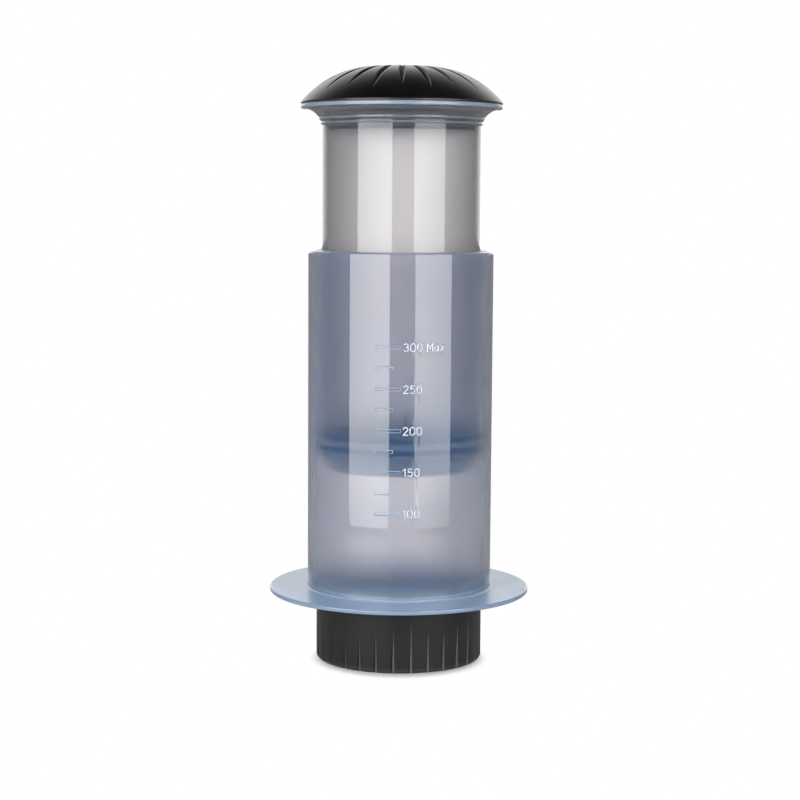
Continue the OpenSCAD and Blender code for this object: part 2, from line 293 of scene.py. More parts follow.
@dataclass(frozen=True)
class SatinPlastic:
    """Opaque moulded plastic or rubber with a fine grain, paler and smoother where rubbed and where light is
    painted.
    """

    name: str
    colour: Colour
    worn: Colour
    roughness: float
    worn_roughness: float
    grain: float = 0.35
    grain_depth: float = 0.02
    specular: float = 0.5
    cloud: float = 0.25
    cloud_cell: float = 22.0
    cloud_range: tuple[float, float] = (0.4, 0.75)
    dull: float = 0.7

    def material(self) -> bpy.types.Material:
        """Builds the material.

        Returns:
            The material, paler and smoother where the mesh's "edge" attribute marks wear and painted light,
            and dull where "inner" does.
        """
        material, graph = new_material(self.name)
        cloud = graph.noise(self.cloud_cell, 3).step(*self.cloud_range)
        # The edge attribute lays on the worn colour: wear, and also painted highlights and painted light.
        rubbed = (graph.attribute("edge") * (1 - self.cloud) + cloud * self.cloud).math("MINIMUM", 1.0)
        worn = rubbed * (self.worn_roughness - self.roughness) + self.roughness
        graph.finish(graph.principled({
            "Base Color": graph.blend(rubbed, self.colour, self.worn),
            "Roughness": graph.attribute("inner") * (self.dull - worn) + worn,
            "Specular IOR Level": self.specular,
            "Normal": graph.bump(graph.noise(self.grain, 2), self.grain_depth),
        }))
        return material


@dataclass(frozen=True)
class FilterPaper:
    """Creped filter paper with loose fibres."""

    name: str
    colour: Colour
    fibre: Colour
    fibre_cell: float = 0.8
    fibre_stretch: Colour = (1.0, 0.2, 1.0)
    fibre_range: tuple[float, float] = (0.5, 0.72)
    crepe_cell: float = 0.9
    crepe_stretch: Colour = (3.0, 0.5, 1.0)
    crepe_depth: float = 0.12
    roughness: float = 0.8
    fibre_dulling: float = 0.1
    specular: float = 0.2

    def material(self) -> bpy.types.Material:
        """Builds the material.

        Returns:
            The material, with crepe ridges and darker fibres.
        """
        material, graph = new_material(self.name)
        fibres = graph.noise(self.fibre_cell, 4, self.fibre_stretch).step(*self.fibre_range)
        crepe = graph.noise(self.crepe_cell, 2, self.crepe_stretch)
        graph.finish(graph.principled({
            "Base Color": graph.blend(fibres, self.colour, self.fibre),
            "Roughness": fibres * self.fibre_dulling + self.roughness,
            "Specular IOR Level": self.specular,
            "Normal": graph.bump(crepe, self.crepe_depth),
        }))
        return material


class Finish(Enum):
    """The finishes of the press, named after the record's material slots."""

    # The rubbed colours also paint highlights: a line on the flange's rim and lines on the plunger's beads.
    CHAMBER = ClearPlastic(
        "chamber_plastic", (1.0, 0.95, 0.925), (0.36, 0.4, 0.46), 38, milk=(0.01, 0.31, 0.87),
        milk_share=0.06, rubbed=(0.275, 0.39, 0.57), marked=(0.8, 0.76, 0.78), inner_roughness=0.36, coat=0.1,
    )
    PLUNGER = ClearPlastic(
        "plunger_plastic", (1.0, 0.98, 0.985), (0.5, 0.48, 0.47), 100, milk=(0.26, 0.31, 0.42),
        milk_share=0.05, rubbed=(0.3, 0.36, 0.46), marked=(0.5, 0.55, 0.6), inner_roughness=0.36,
    )
    # The cap's and dome's worn colours also paint highlights on groove facets; the seal's paints light on its
    # taper and sides.
    CAP = SatinPlastic(
        "cap_plastic", (0.0105, 0.0105, 0.0107), (0.1, 0.1, 0.1), 0.4, 0.36, specular=0.3, cloud=0.03
    )
    DOME = SatinPlastic("dome_plastic", (0.003, 0.003, 0.0032), (0.12, 0.12, 0.12), 0.3, 0.26, cloud=0.025)
    LINER = SatinPlastic("liner_plastic", (0.012, 0.012, 0.013), (0.025, 0.025, 0.025), 0.45, 0.4)
    SEAL = SatinPlastic(
        "seal_silicone", (0.002, 0.03, 0.09), (0.24, 0.28, 0.33), 0.5, 0.4, 0.6, 0.01,
        specular=0.2, cloud=0.03,
    )
    GASKET = SatinPlastic("gasket_silicone", (0.07, 0.07, 0.08), (0.12, 0.12, 0.13), 0.55, 0.45, 0.6, 0.01)
    PAPER = FilterPaper("filter_paper", (0.78, 0.73, 0.64), (0.6, 0.54, 0.44))


@dataclass(frozen=True)
class Corner:
    """A corner of a half section: radius, height, fillet, and whether it belongs to an inner wall."""

    r: float
    z: float
    fillet: float = 0.0
    inner: float = 0.0


@dataclass
class Section:
    """A half section: points of radius and height, with what each carries for its finish."""

    points: np.ndarray
    inner: np.ndarray
    edge: np.ndarray

    @property
    def r(self) -> np.ndarray:
        """Returns the points' radii."""
        return self.points[:, 0]

    @property
    def z(self) -> np.ndarray:
        """Returns the points' heights."""
        return self.points[:, 1]


@dataclass
class Patch:
    """Part of a mesh in millimetres: points, faces by point number, and what each point carries."""

    points: np.ndarray
    faces: list[Sequence[int]]
    inner: np.ndarray
    edge: np.ndarray


def arc(centre: tuple[float, float], radius: float, start: float, end: float, steps: int) -> np.ndarray:
    """Works out an arc: centre + radius * (cos a, sin a), with a in even steps of degrees.

    Args:
        centre: Radius and height of the arc's centre.
        radius: Its radius.
        start: First angle in degrees.
        end: Last angle in degrees.
        steps: Number of steps.

    Returns:
        The points, one row each.
    """
    angles = np.radians(np.linspace(start, end, steps + 1))
    return np.array(centre) + radius * np.stack([np.cos(angles), np.sin(angles)], axis=-1)


def fillet_points(before: np.ndarray, corner: Corner, after: np.ndarray) -> tuple[np.ndarray, float]:
    """Rounds a corner: the arc touches both sides at fillet * tan(turn / 2) from the corner.

    Args:
        before: The point before the corner.
        corner: The corner.
        after: The point after it.

    Returns:
        The arc's points, and 1 where the corner is convex on a section that runs anticlockwise.
    """
    place = np.array([corner.r, corner.z])
    way_in = (place - before) / max(np.linalg.norm(place - before), 1e-9)
    way_out = (after - place) / max(np.linalg.norm(after - place), 1e-9)
    cross = way_in[0] * way_out[1] - way_in[1] * way_out[0]
    turn = math.atan2(cross, float(way_in @ way_out))
    convex = 1.0 if turn > 0 else 0.0
    if corner.fillet <= 0 or abs(turn) < 0.02:
        return place[None, :], convex
    reach = corner.fillet * math.tan(abs(turn) / 2)
    side = math.copysign(1.0, turn) * np.array([-way_in[1], way_in[0]])
    centre = place - way_in * reach + side * corner.fillet
    steps = max(5, math.ceil(math.degrees(abs(turn)) / (4 if corner.fillet > 4 else 11)))
    swept = np.linspace(0, turn, steps + 1)
    spoke = -side * corner.fillet
    turned = np.stack(
        [
            spoke[0] * np.cos(swept) - spoke[1] * np.sin(swept),
            spoke[0] * np.sin(swept) + spoke[1] * np.cos(swept),
        ],
        axis=-1,
    )
    return centre + turned, convex


def section(parts: Sequence[Corner | np.ndarray], closed: bool, inner_arcs: float = 0.0) -> Section:
    """Joins corners and ready arcs into one half section, and holds its long flats near their ends.

    Args:
        parts: Corners, and arrays of points that are taken as they are.
        closed: Whether the last point meets the first, as on a ring, or both lie on the axis.
        inner_arcs: The inner value of the ready arcs.

    Returns:
        The section's points in order.
    """
    ends = [(p[0], p[-1]) if isinstance(p, np.ndarray) else (np.array([p.r, p.z]),) * 2 for p in parts]
    points, inner, edge = [], [], []
    for i, part in enumerate(parts):
        if isinstance(part, np.ndarray):
            run, inner_value, edge_value = part, inner_arcs, 0.0
        else:
            run, convex = fillet_points(ends[i - 1][1], part, ends[(i + 1) % len(parts)][0])
            inner_value = part.inner
            edge_value = convex if 0 < part.fillet < 1.5 else 0.0
        points.append(run)
        inner.append(np.full(len(run), inner_value))
        edge.append(np.full(len(run), edge_value))
    line = Section(np.concatenate(points), np.concatenate(inner), np.concatenate(edge))
    return held(line, closed)


def held(line: Section, closed: bool, margin: float = 0.3) -> Section:
    """Drops points that repeat, and adds points near both ends of each long flat.

    Args:
        line: The section.
        closed: Whether its last point meets its first.
        margin: How far from the ends the added points lie.

    Returns:
        The section with its added points, which carry their inner value and no edge.
    """
    following = np.roll(line.points, -1, axis=0)
    lengths = np.linalg.norm(following - line.points, axis=1)
    keep = lengths > 1e-4
    if not closed:
        keep[-1] = True
    points, inner, edge = line.points[keep], line.inner[keep], line.edge[keep]
    following = np.roll(points, -1, axis=0)
    lengths = np.linalg.norm(following - points, axis=1)
    long = lengths > 4 * margin
    if not closed:
        long[-1] = False
    where = np.nonzero(long)[0]
    way = (following[where] - points[where]) / lengths[where, None]
    first = points[where] + way * margin
    last = following[where] - way * margin
    places = np.repeat(where + 1, 2)
    added = np.stack([first, last], axis=1).reshape(-1, 2)
    near_inner = np.stack([inner[where], np.roll(inner, -1)[where]], axis=1).reshape(-1)
    return Section(
        np.insert(points, places, added, axis=0),
        np.insert(inner, places, near_inner),
        np.insert(edge, places, np.zeros(len(places))),
    )


def grid_faces(rows: int, columns: int, close_rows: bool, close_columns: bool) -> np.ndarray:
    """Numbers the quads of a grid whose point number is row * columns + column.

    Args:
        rows: Number of rows.
        columns: Number of columns.
        close_rows: Whether the last row joins the first.
        close_columns: Whether the last column joins the first.

    Returns:
        Four point numbers a row.
    """
    row = np.arange(rows if close_rows else rows - 1)[:, None]
    column = np.arange(columns if close_columns else columns - 1)[None, :]
    next_row, next_column = (row + 1) % rows, (column + 1) % columns
    corners = [row * columns + column, row * columns + next_column]
    corners += [next_row * columns + next_column, next_row * columns + column]
    return np.stack([np.broadcast_to(c, (row.size, column.size)) for c in corners], axis=-1).reshape(-1, 4)


def around(count: int) -> np.ndarray:
    """Returns the angles of evenly spaced columns, from the front."""
    return FRONT + np.arange(count) * 2 * math.pi / count


def circled(r: np.ndarray | float, angles: np.ndarray, z: np.ndarray | float) -> np.ndarray:
    """Returns the points (r cos a, r sin a, z) for radii, angles and heights that go together."""
    return np.stack(np.broadcast_arrays(r * np.cos(angles), r * np.sin(angles), z), axis=-1)


def turned(line: Section, angles: np.ndarray, closed: bool) -> Patch:
    """Turns a half section round the axis: (r cos a, r sin a, z) for each point and each angle.

    Args:
        line: The half section.
        angles: The columns' angles.
        closed: Whether the section closes on itself.

    Returns:
        The surface of revolution.
    """
    points = circled(line.r[:, None], angles, line.z[:, None]).reshape(-1, 3)
    faces = grid_faces(len(line.points), len(angles), closed, True).tolist()
    return Patch(points, faces, np.repeat(line.inner, len(angles)), np.repeat(line.edge, len(angles)))


def moved(patch: Patch, x: float, y: float, z: float = 0.0) -> Patch:
    """Returns the patch moved by a distance."""
    return Patch(patch.points + np.array([x, y, z]), patch.faces, patch.inner, patch.edge)


def ring_block(inner_r: float, outer_r: float, low: float, high: float, middle: float, span: float) -> Patch:
    """Makes a block of ring: radius, height and angle each run between two values.

    Args:
        inner_r: Inner radius.
        outer_r: Outer radius.
        low: Lower height.
        high: Upper height.
        middle: Angle of its middle in degrees.
        span: Angle that it spans in degrees.

    Returns:
        The closed block, with its outer edges slightly rounded.
    """
    soft = 0.25
    corners = [
        Corner(inner_r, low), Corner(outer_r, low, soft), Corner(outer_r, high, soft), Corner(inner_r, high)
    ]
    loop = section(corners, True)
    angles = np.radians(middle + span * np.linspace(-0.5, 0.5, 17))
    points = circled(loop.r[:, None], angles, loop.z[:, None])
    count, columns = len(loop.points), len(angles)
    faces = grid_faces(count, columns, True, False).tolist()
    faces.append([row * columns for row in range(count)])
    faces.append([row * columns + columns - 1 for row in range(count)][::-1])
    edge = np.repeat(loop.edge, columns)
    return Patch(points.reshape(-1, 3), faces, np.zeros(len(edge)), edge)


def linked(name: str, data: bpy.types.ID) -> bpy.types.Object:
    """Returns a new object that is linked to the scene."""
    thing = bpy.data.objects.new(name, data)
    bpy.context.scene.collection.objects.link(thing)
    return thing


@dataclass
class Piece:
    """One named piece: its patches, the CAD node that it replaces, and its body and slot."""

    node: str
    body: str
    finish: Finish
    patches: list[Patch]
    crease: float = 32.0
    weld: float = 0.0002

    def build(self) -> None:
        """Makes the mesh, merges its seams, turns its faces outwards and dresses it."""
        counts = np.cumsum([0] + [len(p.points) for p in self.patches])
        faces = [[i + first for i in f] for p, first in zip(self.patches, counts) for f in p.faces]
        points = np.concatenate([p.points for p in self.patches]) * METRES
        mesh = bpy.data.meshes.new(f"{self.node}_look")
        mesh.from_pydata(points.tolist(), [], faces)
        for name in ("inner", "edge"):
            values = np.concatenate([getattr(p, name) for p in self.patches])
            mesh.attributes.new(name, "FLOAT", "POINT").data.foreach_set("value", values.astype(np.float32))
        welded = bmesh.new()
        welded.from_mesh(mesh)
        bmesh.ops.remove_doubles(welded, verts=welded.verts, dist=self.weld * METRES)
        bmesh.ops.recalc_face_normals(welded, faces=welded.faces)
        welded.to_mesh(mesh)
        welded.free()
        mesh.polygons.foreach_set("use_smooth", np.ones(len(mesh.polygons), bool))
        mesh.set_sharp_from_angle(angle=math.radians(self.crease))
        mesh.materials.append(self.finish.value.material())
        piece = linked(mesh.name, mesh)
        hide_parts(self.node)
        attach(piece, self.body)
        open_edges = sum(1 for count in edge_uses(mesh) if count != 2)
        triangles = sum(len(p.vertices) - 2 for p in mesh.polygons)
        LOG.info("%s: %d triangles, %d open edges", piece.name, triangles, open_edges)


def edge_uses(mesh: bpy.types.Mesh) -> np.ndarray:
    """Returns how many faces use each edge of a mesh."""
    edges = np.zeros(len(mesh.loops), np.int32)
    mesh.loops.foreach_get("edge_index", edges)
    return np.bincount(edges, minlength=len(mesh.edges))


@dataclass
class Layout:
    """Sizes that several pieces share, as in the CAD source, and what follows from them."""

    closed_h: float = 181.5
    drawn: float = 45.4
    barrel_r: float = 35.4
    barrel_wall: float = 3.3
    neck_step: float = 6.6
    neck_wall: float = 2.4
    flange_t: float = 1.7
    floor_t: float = 2.1
    seat_depth: float = 0.3
    lug_count: int = 4
    lug_rise: float = 4.0
    lug_reach: float = 1.3
    lug_h: float = 2.2
    lug_angle: float = 28.0
    cap_h: float = 26.2
    cap_wall: float = 2.5
    collar_h: float = 10.2
    sieve_t: float = 2.5
    paper_t: float = 0.3
    tube_gap: float = 1.6
    tube_wall: float = 2.3
    lip_reach: float = 3.0
    lip_t: float = 1.6
    lip_rise: float = 8.2
    stem_l: float = 7.0
    head_h: float = 4.2
    seal_web: float = 4.1
    lid_h: float = 14.2
    run_gap: float = 0.3
    wipe_gap: float = 0.08
    snug_gap: float = 0.1

    def __post_init__(self) -> None:
        """Works out the heights and radii that follow."""
        self.seat_z = self.cap_h + self.run_gap
        self.flange_z = self.seat_z - self.seat_depth
        self.flange_top_z = self.flange_z + self.flange_t
        self.floor_z = self.flange_z + self.floor_t
        self.bore_r = self.barrel_r - self.barrel_wall
        self.neck_bore_r = self.bore_r - self.neck_step
        self.neck_r = self.neck_bore_r + self.neck_wall
        self.sieve_z = self.collar_h + self.sieve_t
        self.neck_end_z = self.sieve_z + self.paper_t + self.snug_gap
        self.lug_r = self.neck_r + self.lug_reach
        self.lug_z = self.neck_end_z + self.lug_rise
        self.ledge_z = self.lug_z + self.lug_h + self.snug_gap
        self.cap_bore_r = self.lug_r + self.run_gap
        self.cap_r = self.cap_bore_r + self.cap_wall
        self.seat_r = self.cap_r + self.run_gap
        lip_home_z = self.closed_h - self.lid_h - self.lip_t
        self.rim_z = lip_home_z - self.lip_rise
        self.lip_z = lip_home_z + self.drawn
        self.lip_top_z = self.lip_z + self.lip_t
        self.lip_r = self.barrel_r + self.lip_reach
        self.tube_r = self.bore_r - self.tube_gap
        self.tube_bore_r = self.tube_r - self.tube_wall
        self.seal_z = self.floor_z + self.run_gap + self.drawn
        self.head_z = self.seal_z + self.seal_web
        self.stem_z = self.head_z + self.head_h
        self.tube_end_z = self.stem_z + self.stem_l


@dataclass(frozen=True)
class Lettering:
    """Plain figures and letters drawn with round strokes, in shares of their height."""

    height: float = 2.85
    stroke_w: float = 0.37
    gap_share: float = 0.29
    space_share: float = 0.42

    @staticmethod
    def bow(x: float, y: float, rx: float, ry: float, start: float, end: float) -> np.ndarray:
        """Works out part of an ellipse: (x + rx cos a, y + ry sin a), with a in degrees.

        Args:
            x: Centre across the glyph.
            y: Centre up the glyph.
            rx: Half width.
            ry: Half height.
            start: First angle.
            end: Last angle.

        Returns:
            The points.
        """
        angles = np.radians(np.linspace(start, end, 13))
        return np.stack([x + rx * np.cos(angles), y + ry * np.sin(angles)], axis=-1)

    @staticmethod
    def line(*points: tuple[float, float]) -> np.ndarray:
        """Returns a line through points."""
        return np.array(points, float)

    def strokes(self, glyph: str) -> tuple[float, list[np.ndarray]]:
        """Draws one glyph.

        Args:
            glyph: The figure or letter.

        Returns:
            Its width, and its strokes as lines of points.
        """
        bow, line = self.bow, self.line
        drawn = {
            "0": (0.6, [bow(0.3, 0.7, 0.3, 0.3, 0, 180), bow(0.3, 0.3, 0.3, 0.3, 180, 360),
                        line((0, 0.7), (0, 0.3)), line((0.6, 0.7), (0.6, 0.3))]),
            "1": (0.34, [line((0.02, 0.76), (0.28, 1), (0.28, 0))]),
            "2": (0.58, [bow(0.29, 0.72, 0.27, 0.28, 170, -30), line((0.52, 0.58), (0, 0), (0.58, 0))]),
            "3": (0.58, [bow(0.28, 0.76, 0.26, 0.24, 155, -90), bow(0.28, 0.27, 0.3, 0.27, 90, -155)]),
            "5": (0.58, [line((0.53, 1), (0.09, 1), (0.05, 0.55)), bow(0.27, 0.32, 0.31, 0.32, 130, -150)]),
            "M": (0.7, [line((0, 0), (0, 1), (0.35, 0.3), (0.7, 1), (0.7, 0))]),
            "a": (0.52, [bow(0.24, 0.35, 0.24, 0.35, 0, 360), line((0.5, 0.7), (0.5, 0))]),
            "x": (0.5, [line((0, 0.7), (0.5, 0)), line((0, 0), (0.5, 0.7))]),
        }
        return drawn[glyph]

    def segments(self, text: str, left: float, middle_z: float) -> np.ndarray:
        """Lays a text out as straight segments.

        Args:
            text: The text.
            left: Where it starts along the barrel.
            middle_z: Height of its middle.

        Returns:
            An array of segments, two ends each.
        """
        found, across = [], 0.0
        for glyph in text:
            if glyph == " ":
                across += self.space_share
                continue
            width, lines = self.strokes(glyph)
            for points in lines:
                placed = points + np.array([across, -0.5])
                found.append(np.stack([placed[:-1], placed[1:]], axis=1))
            across += width + self.gap_share
        return np.concatenate(found) * self.height + np.array([left, middle_z])


def distance_to_segments(s: np.ndarray, z: np.ndarray, segments: np.ndarray) -> np.ndarray:
    """Measures how far each point of a grid is from the nearest segment.

    Args:
        s: Places along the barrel, one a column.
        z: Heights, one a row.
        segments: The segments.

    Returns:
        The distances, row by column.
    """
    grid = np.stack(np.broadcast_arrays(s[None, :], z[:, None]), axis=-1)[:, :, None, :]
    start, way = segments[:, 0], segments[:, 1] - segments[:, 0]
    along = ((grid - start) * way).sum(-1) / np.maximum((way * way).sum(-1), 1e-12)
    nearest = start + np.clip(along, 0, 1)[..., None] * way
    return np.linalg.norm(grid - nearest, axis=-1).min(-1)


@dataclass
class Chamber:
    """The barrel with its flange, neck, lugs and raised scale."""

    layout: Layout
    flange_r: float = 50.0
    flange_round: float = 0.55
    foot_round: float = 1.0
    rim_round: float = 0.8
    floor_round: float = 1.2
    neck_chamfer: float = 0.6
    first_ml: int = 100
    step_ml: int = 25
    long_step_ml: int = 50
    scale_zero_rise: float = 2.0
    scale_margin: float = 25.0
    long_mark_w: float = 9.3
    short_mark_w: float = 6.5
    mark_left: float = 9.1
    mark_h: float = 1.1
    relief: float = 0.3
    slope: float = 0.26
    bar_bloom: float = 1.35
    letter_bloom: float = FULL_MARK
    flange_bloom: float = 0.85
    # Painted highlight: a pale line along the flange's rim.
    rim_bloom: float = 0.2
    foot_bloom: float = 0.6
    foot_bloom_h: float = 9.0
    label_left: float = 1.3
    label_end: float = 17.0
    fine: float = 0.11
    edge_round: float = 0.2
    neck_round: float = 0.3
    seat_round: float = 0.1
    foot_rises: tuple[float, ...] = (2.0, 3.0, 4.5, 6.0, 7.5, 9.0)
    field_margin: float = 1.5
    column_turn: float = 1.5
    column_pitch: float = 0.75
    column_gap: float = 0.3
    mark_lead: float = 0.9
    label_lead: float = 0.4
    lug_root: float = 0.4
    edge_bloom: float = 0.06
    lettering: Lettering = field(default_factory=Lettering)

    def marks(self) -> list[tuple[int, float]]:
        """Works out the scale: a volume rises by itself / (pi * bore radius squared) over the zero.

        Returns:
            Each mark's volume in millilitres and its height.
        """
        lay = self.layout
        rise = 1000 / (math.pi * lay.bore_r**2)
        zero = lay.floor_z + self.scale_zero_rise
        most = (lay.rim_z - self.scale_margin - zero) / rise
        last = int(most // self.long_step_ml) * self.long_step_ml
        return [(ml, zero + ml * rise) for ml in range(self.first_ml, last + 1, self.step_ml)]

    def is_long(self, ml: int) -> bool:
        """Returns whether a mark is a long one with a figure."""
        return ml % self.long_step_ml == 0

    def wall_section(self, low: float, high: float) -> Section:
        """Draws the half section, with a point at each end of the scale on the barrel.

        Args:
            low: Lower end of the scale's field.
            high: Its upper end.

        Returns:
            The section, closed on itself.
        """
        lay, edge = self.layout, self.edge_round
        chamfer_r = lay.neck_bore_r + self.neck_chamfer
        corners = [
            Corner(chamfer_r, lay.neck_end_z, edge),
            Corner(lay.neck_r, lay.neck_end_z, self.neck_round),
            Corner(lay.neck_r, lay.seat_z, edge),
            Corner(lay.seat_r, lay.seat_z),
            Corner(lay.seat_r, lay.flange_z, self.seat_round),
            Corner(self.flange_r, lay.flange_z, self.flange_round),
            Corner(self.flange_r, lay.flange_top_z, self.flange_round),
            Corner(lay.barrel_r, lay.flange_top_z, self.foot_round),
            *[Corner(lay.barrel_r, lay.flange_top_z + rise) for rise in self.foot_rises],
            Corner(lay.barrel_r, low),
            Corner(lay.barrel_r, high),
            Corner(lay.barrel_r, lay.rim_z, self.rim_round),
            Corner(lay.bore_r, lay.rim_z, self.rim_round, 1.0),
            Corner(lay.bore_r, lay.floor_z, self.floor_round, 1.0),
            Corner(chamfer_r, lay.floor_z, edge, 1.0),
            Corner(lay.neck_bore_r, lay.floor_z - self.neck_chamfer, edge, 1.0),
            Corner(lay.neck_bore_r, lay.neck_end_z + self.neck_chamfer, edge, 1.0),
        ]
        line = section(corners, True)
        rise = line.z - lay.flange_top_z
        on_flange = (rise > -NEAR) & (rise < self.foot_round + 0.1)
        line.inner[on_flange & (line.r < self.flange_r - 0.5) & (line.r > lay.barrel_r - NEAR)] = 1.0
        between = (line.z > low + SAME) & (line.z < high - SAME)
        keep = ~(between & (np.abs(line.r - lay.barrel_r) < SAME))
        return Section(line.points[keep], line.inner[keep], line.edge[keep])

    def field_columns(self) -> np.ndarray:
        """Spaces the scale's columns along the barrel, close where an edge is.

        Returns:
            Their places in order.
        """
        left = -self.mark_left
        edges = [left, left + self.short_mark_w, left + self.long_mark_w]
        near = np.concatenate([e + np.arange(-3, 4) * self.fine for e in edges])
        letters = np.arange(self.label_left - self.label_lead, self.label_end, self.fine)
        wide = np.arange(left - self.mark_lead, self.label_left, self.column_pitch)
        clear = np.abs(wide[:, None] - near[None, :]).min(1) > self.column_gap
        return np.sort(np.concatenate([near, letters, wide[clear]]))

    def field_rows(self) -> np.ndarray:
        """Spaces the scale's rows, close at every mark and label.

        Returns:
            Their heights in order.
        """
        tall = self.lettering.height / 2 + 3 * self.fine
        short = self.mark_h / 2 + 3 * self.fine
        runs = []
        for ml, z in self.marks():
            steps = math.ceil((tall if self.is_long(ml) else short) / self.fine)
            runs.append(z + np.arange(-steps, steps + 1) * self.fine)
        return np.concatenate(runs)

    def relief_field(self, s: np.ndarray, z: np.ndarray) -> tuple[np.ndarray, np.ndarray]:
        """Works out the relief, which rises over a slope along the outline of each stroke and bar.

        Args:
            s: Places along the barrel.
            z: Heights.

        Returns:
            How far each point of the field stands out, and how milky it looks: bars along their outlines.
        """
        bars_off = np.full((len(z), len(s)), FAR)
        letters_off = bars_off.copy()
        for ml, mark_z in self.marks():
            long = self.is_long(ml)
            half = (self.long_mark_w if long else self.short_mark_w) / 2
            across = np.abs(s + self.mark_left - half)[None, :] - half
            up = np.abs(z - mark_z)[:, None] - self.mark_h / 2
            bars_off = np.minimum(bars_off, np.maximum(across, up))
            if not long:
                continue
            text = f"{ml} Max" if ml == self.marks()[-1][0] else str(ml)
            rows = np.abs(z - mark_z) < self.lettering.height
            segments = self.lettering.segments(text, self.label_left, mark_z)
            distance = distance_to_segments(s, z[rows], segments) - self.lettering.stroke_w / 2
            letters_off[rows] = np.minimum(letters_off[rows], distance)
        bars, strokes = (np.clip(0.5 - off / self.slope, 0, 1) for off in (bars_off, letters_off))
        share = np.maximum(bars, strokes)
        bloom = np.maximum(self.bar_bloom * 4 * bars * (1 - bars), self.letter_bloom * strokes)
        return self.relief * share * share * (3 - 2 * share), bloom

    def wall(self) -> Patch:
        """Makes the turned wall, with a close grid for the scale let into its front.

        Returns:
            One closed patch.
        """
        lay = self.layout
        s, z = self.field_columns(), self.field_rows()
        low, high = z[0] - self.field_margin, z[-1] + self.field_margin
        line = self.wall_section(low, high)
        first, last = FRONT + s[0] / lay.barrel_r, FRONT + s[-1] / lay.barrel_r
        count = math.ceil((first + 2 * math.pi - last) / math.radians(self.column_turn))
        rest = np.linspace(last, first + 2 * math.pi, count + 1)[1:-1]
        angles = np.concatenate([FRONT + s / lay.barrel_r, rest])
        whole = turned(line, angles, True)
        fine, total = len(s), len(angles)
        low_row = int(np.argmin(np.hypot(line.r - lay.barrel_r, line.z - low)))
        faces = np.array(whole.faces)
        row, column = faces[:, 0] // total, faces[:, 0] % total
        kept = faces[(row != low_row) | ((column >= fine) & (column < total - 1))]
        heights, edge = self.relief_field(s, z)
        r = lay.barrel_r + heights
        field_points = circled(r, angles[:fine], z[:, None])
        numbers = np.concatenate([
            (low_row * total + np.arange(fine))[None, :],
            len(whole.points) + np.arange(r.size).reshape(r.shape),
            ((low_row + 1) * total + np.arange(fine))[None, :],
        ])
        quads = np.stack([numbers[:-1, :-1], numbers[:-1, 1:], numbers[1:, 1:], numbers[1:, :-1]], -1)
        right = [low_row * total + fine, (low_row + 1) * total + fine, *numbers[::-1, -1].tolist()]
        left = [*numbers[:, 0].tolist(), (low_row + 2) * total - 1, (low_row + 1) * total - 1]
        return Patch(
            np.concatenate([whole.points, field_points.reshape(-1, 3)]),
            kept.tolist() + quads.reshape(-1, 4).tolist() + [right, left],
            np.concatenate([whole.inner, np.zeros(r.size)]),
            np.concatenate([self.bloom(whole), edge.reshape(-1)]),
        )

    def bloom(self, patch: Patch) -> np.ndarray:
        """Works out how milky each point looks: the flange most, then the foot, a little the edges; the rim's
        is a painted highlight.

        Args:
            patch: The turned wall.

        Returns:
            The points' share of bloom.
        """
        lay = self.layout
        r, z = np.hypot(patch.points[:, 0], patch.points[:, 1]), patch.points[:, 2]
        flange = np.clip((r - lay.barrel_r + 0.2) / 0.4, 0, 1) * (z < lay.flange_top_z + 0.5)
        # Painted highlight: the rim gets its own pale line.
        rim = r > self.flange_r - self.flange_round
        flange = np.where(rim, self.rim_bloom, flange * self.flange_bloom)
        foot = self.foot_bloom * np.clip(1 - (z - lay.flange_top_z) / self.foot_bloom_h, 0, 1) ** 2
        foot *= (r > lay.barrel_r - 0.1) & (z > lay.flange_z)
        return np.maximum(np.maximum(flange, foot), patch.edge * self.edge_bloom)

    def build(self) -> None:
        """Makes the chamber."""
        lay = self.layout
        root_r, top = lay.neck_r - self.lug_root, lay.lug_z + lay.lug_h
        turns = [i * 360 / lay.lug_count for i in range(lay.lug_count)]
        lugs = [ring_block(root_r, lay.lug_r, lay.lug_z, top, turn, lay.lug_angle) for turn in turns]
        Piece("brew_chamber", "chamber", Finish.CHAMBER, [self.wall(), *lugs]).build()


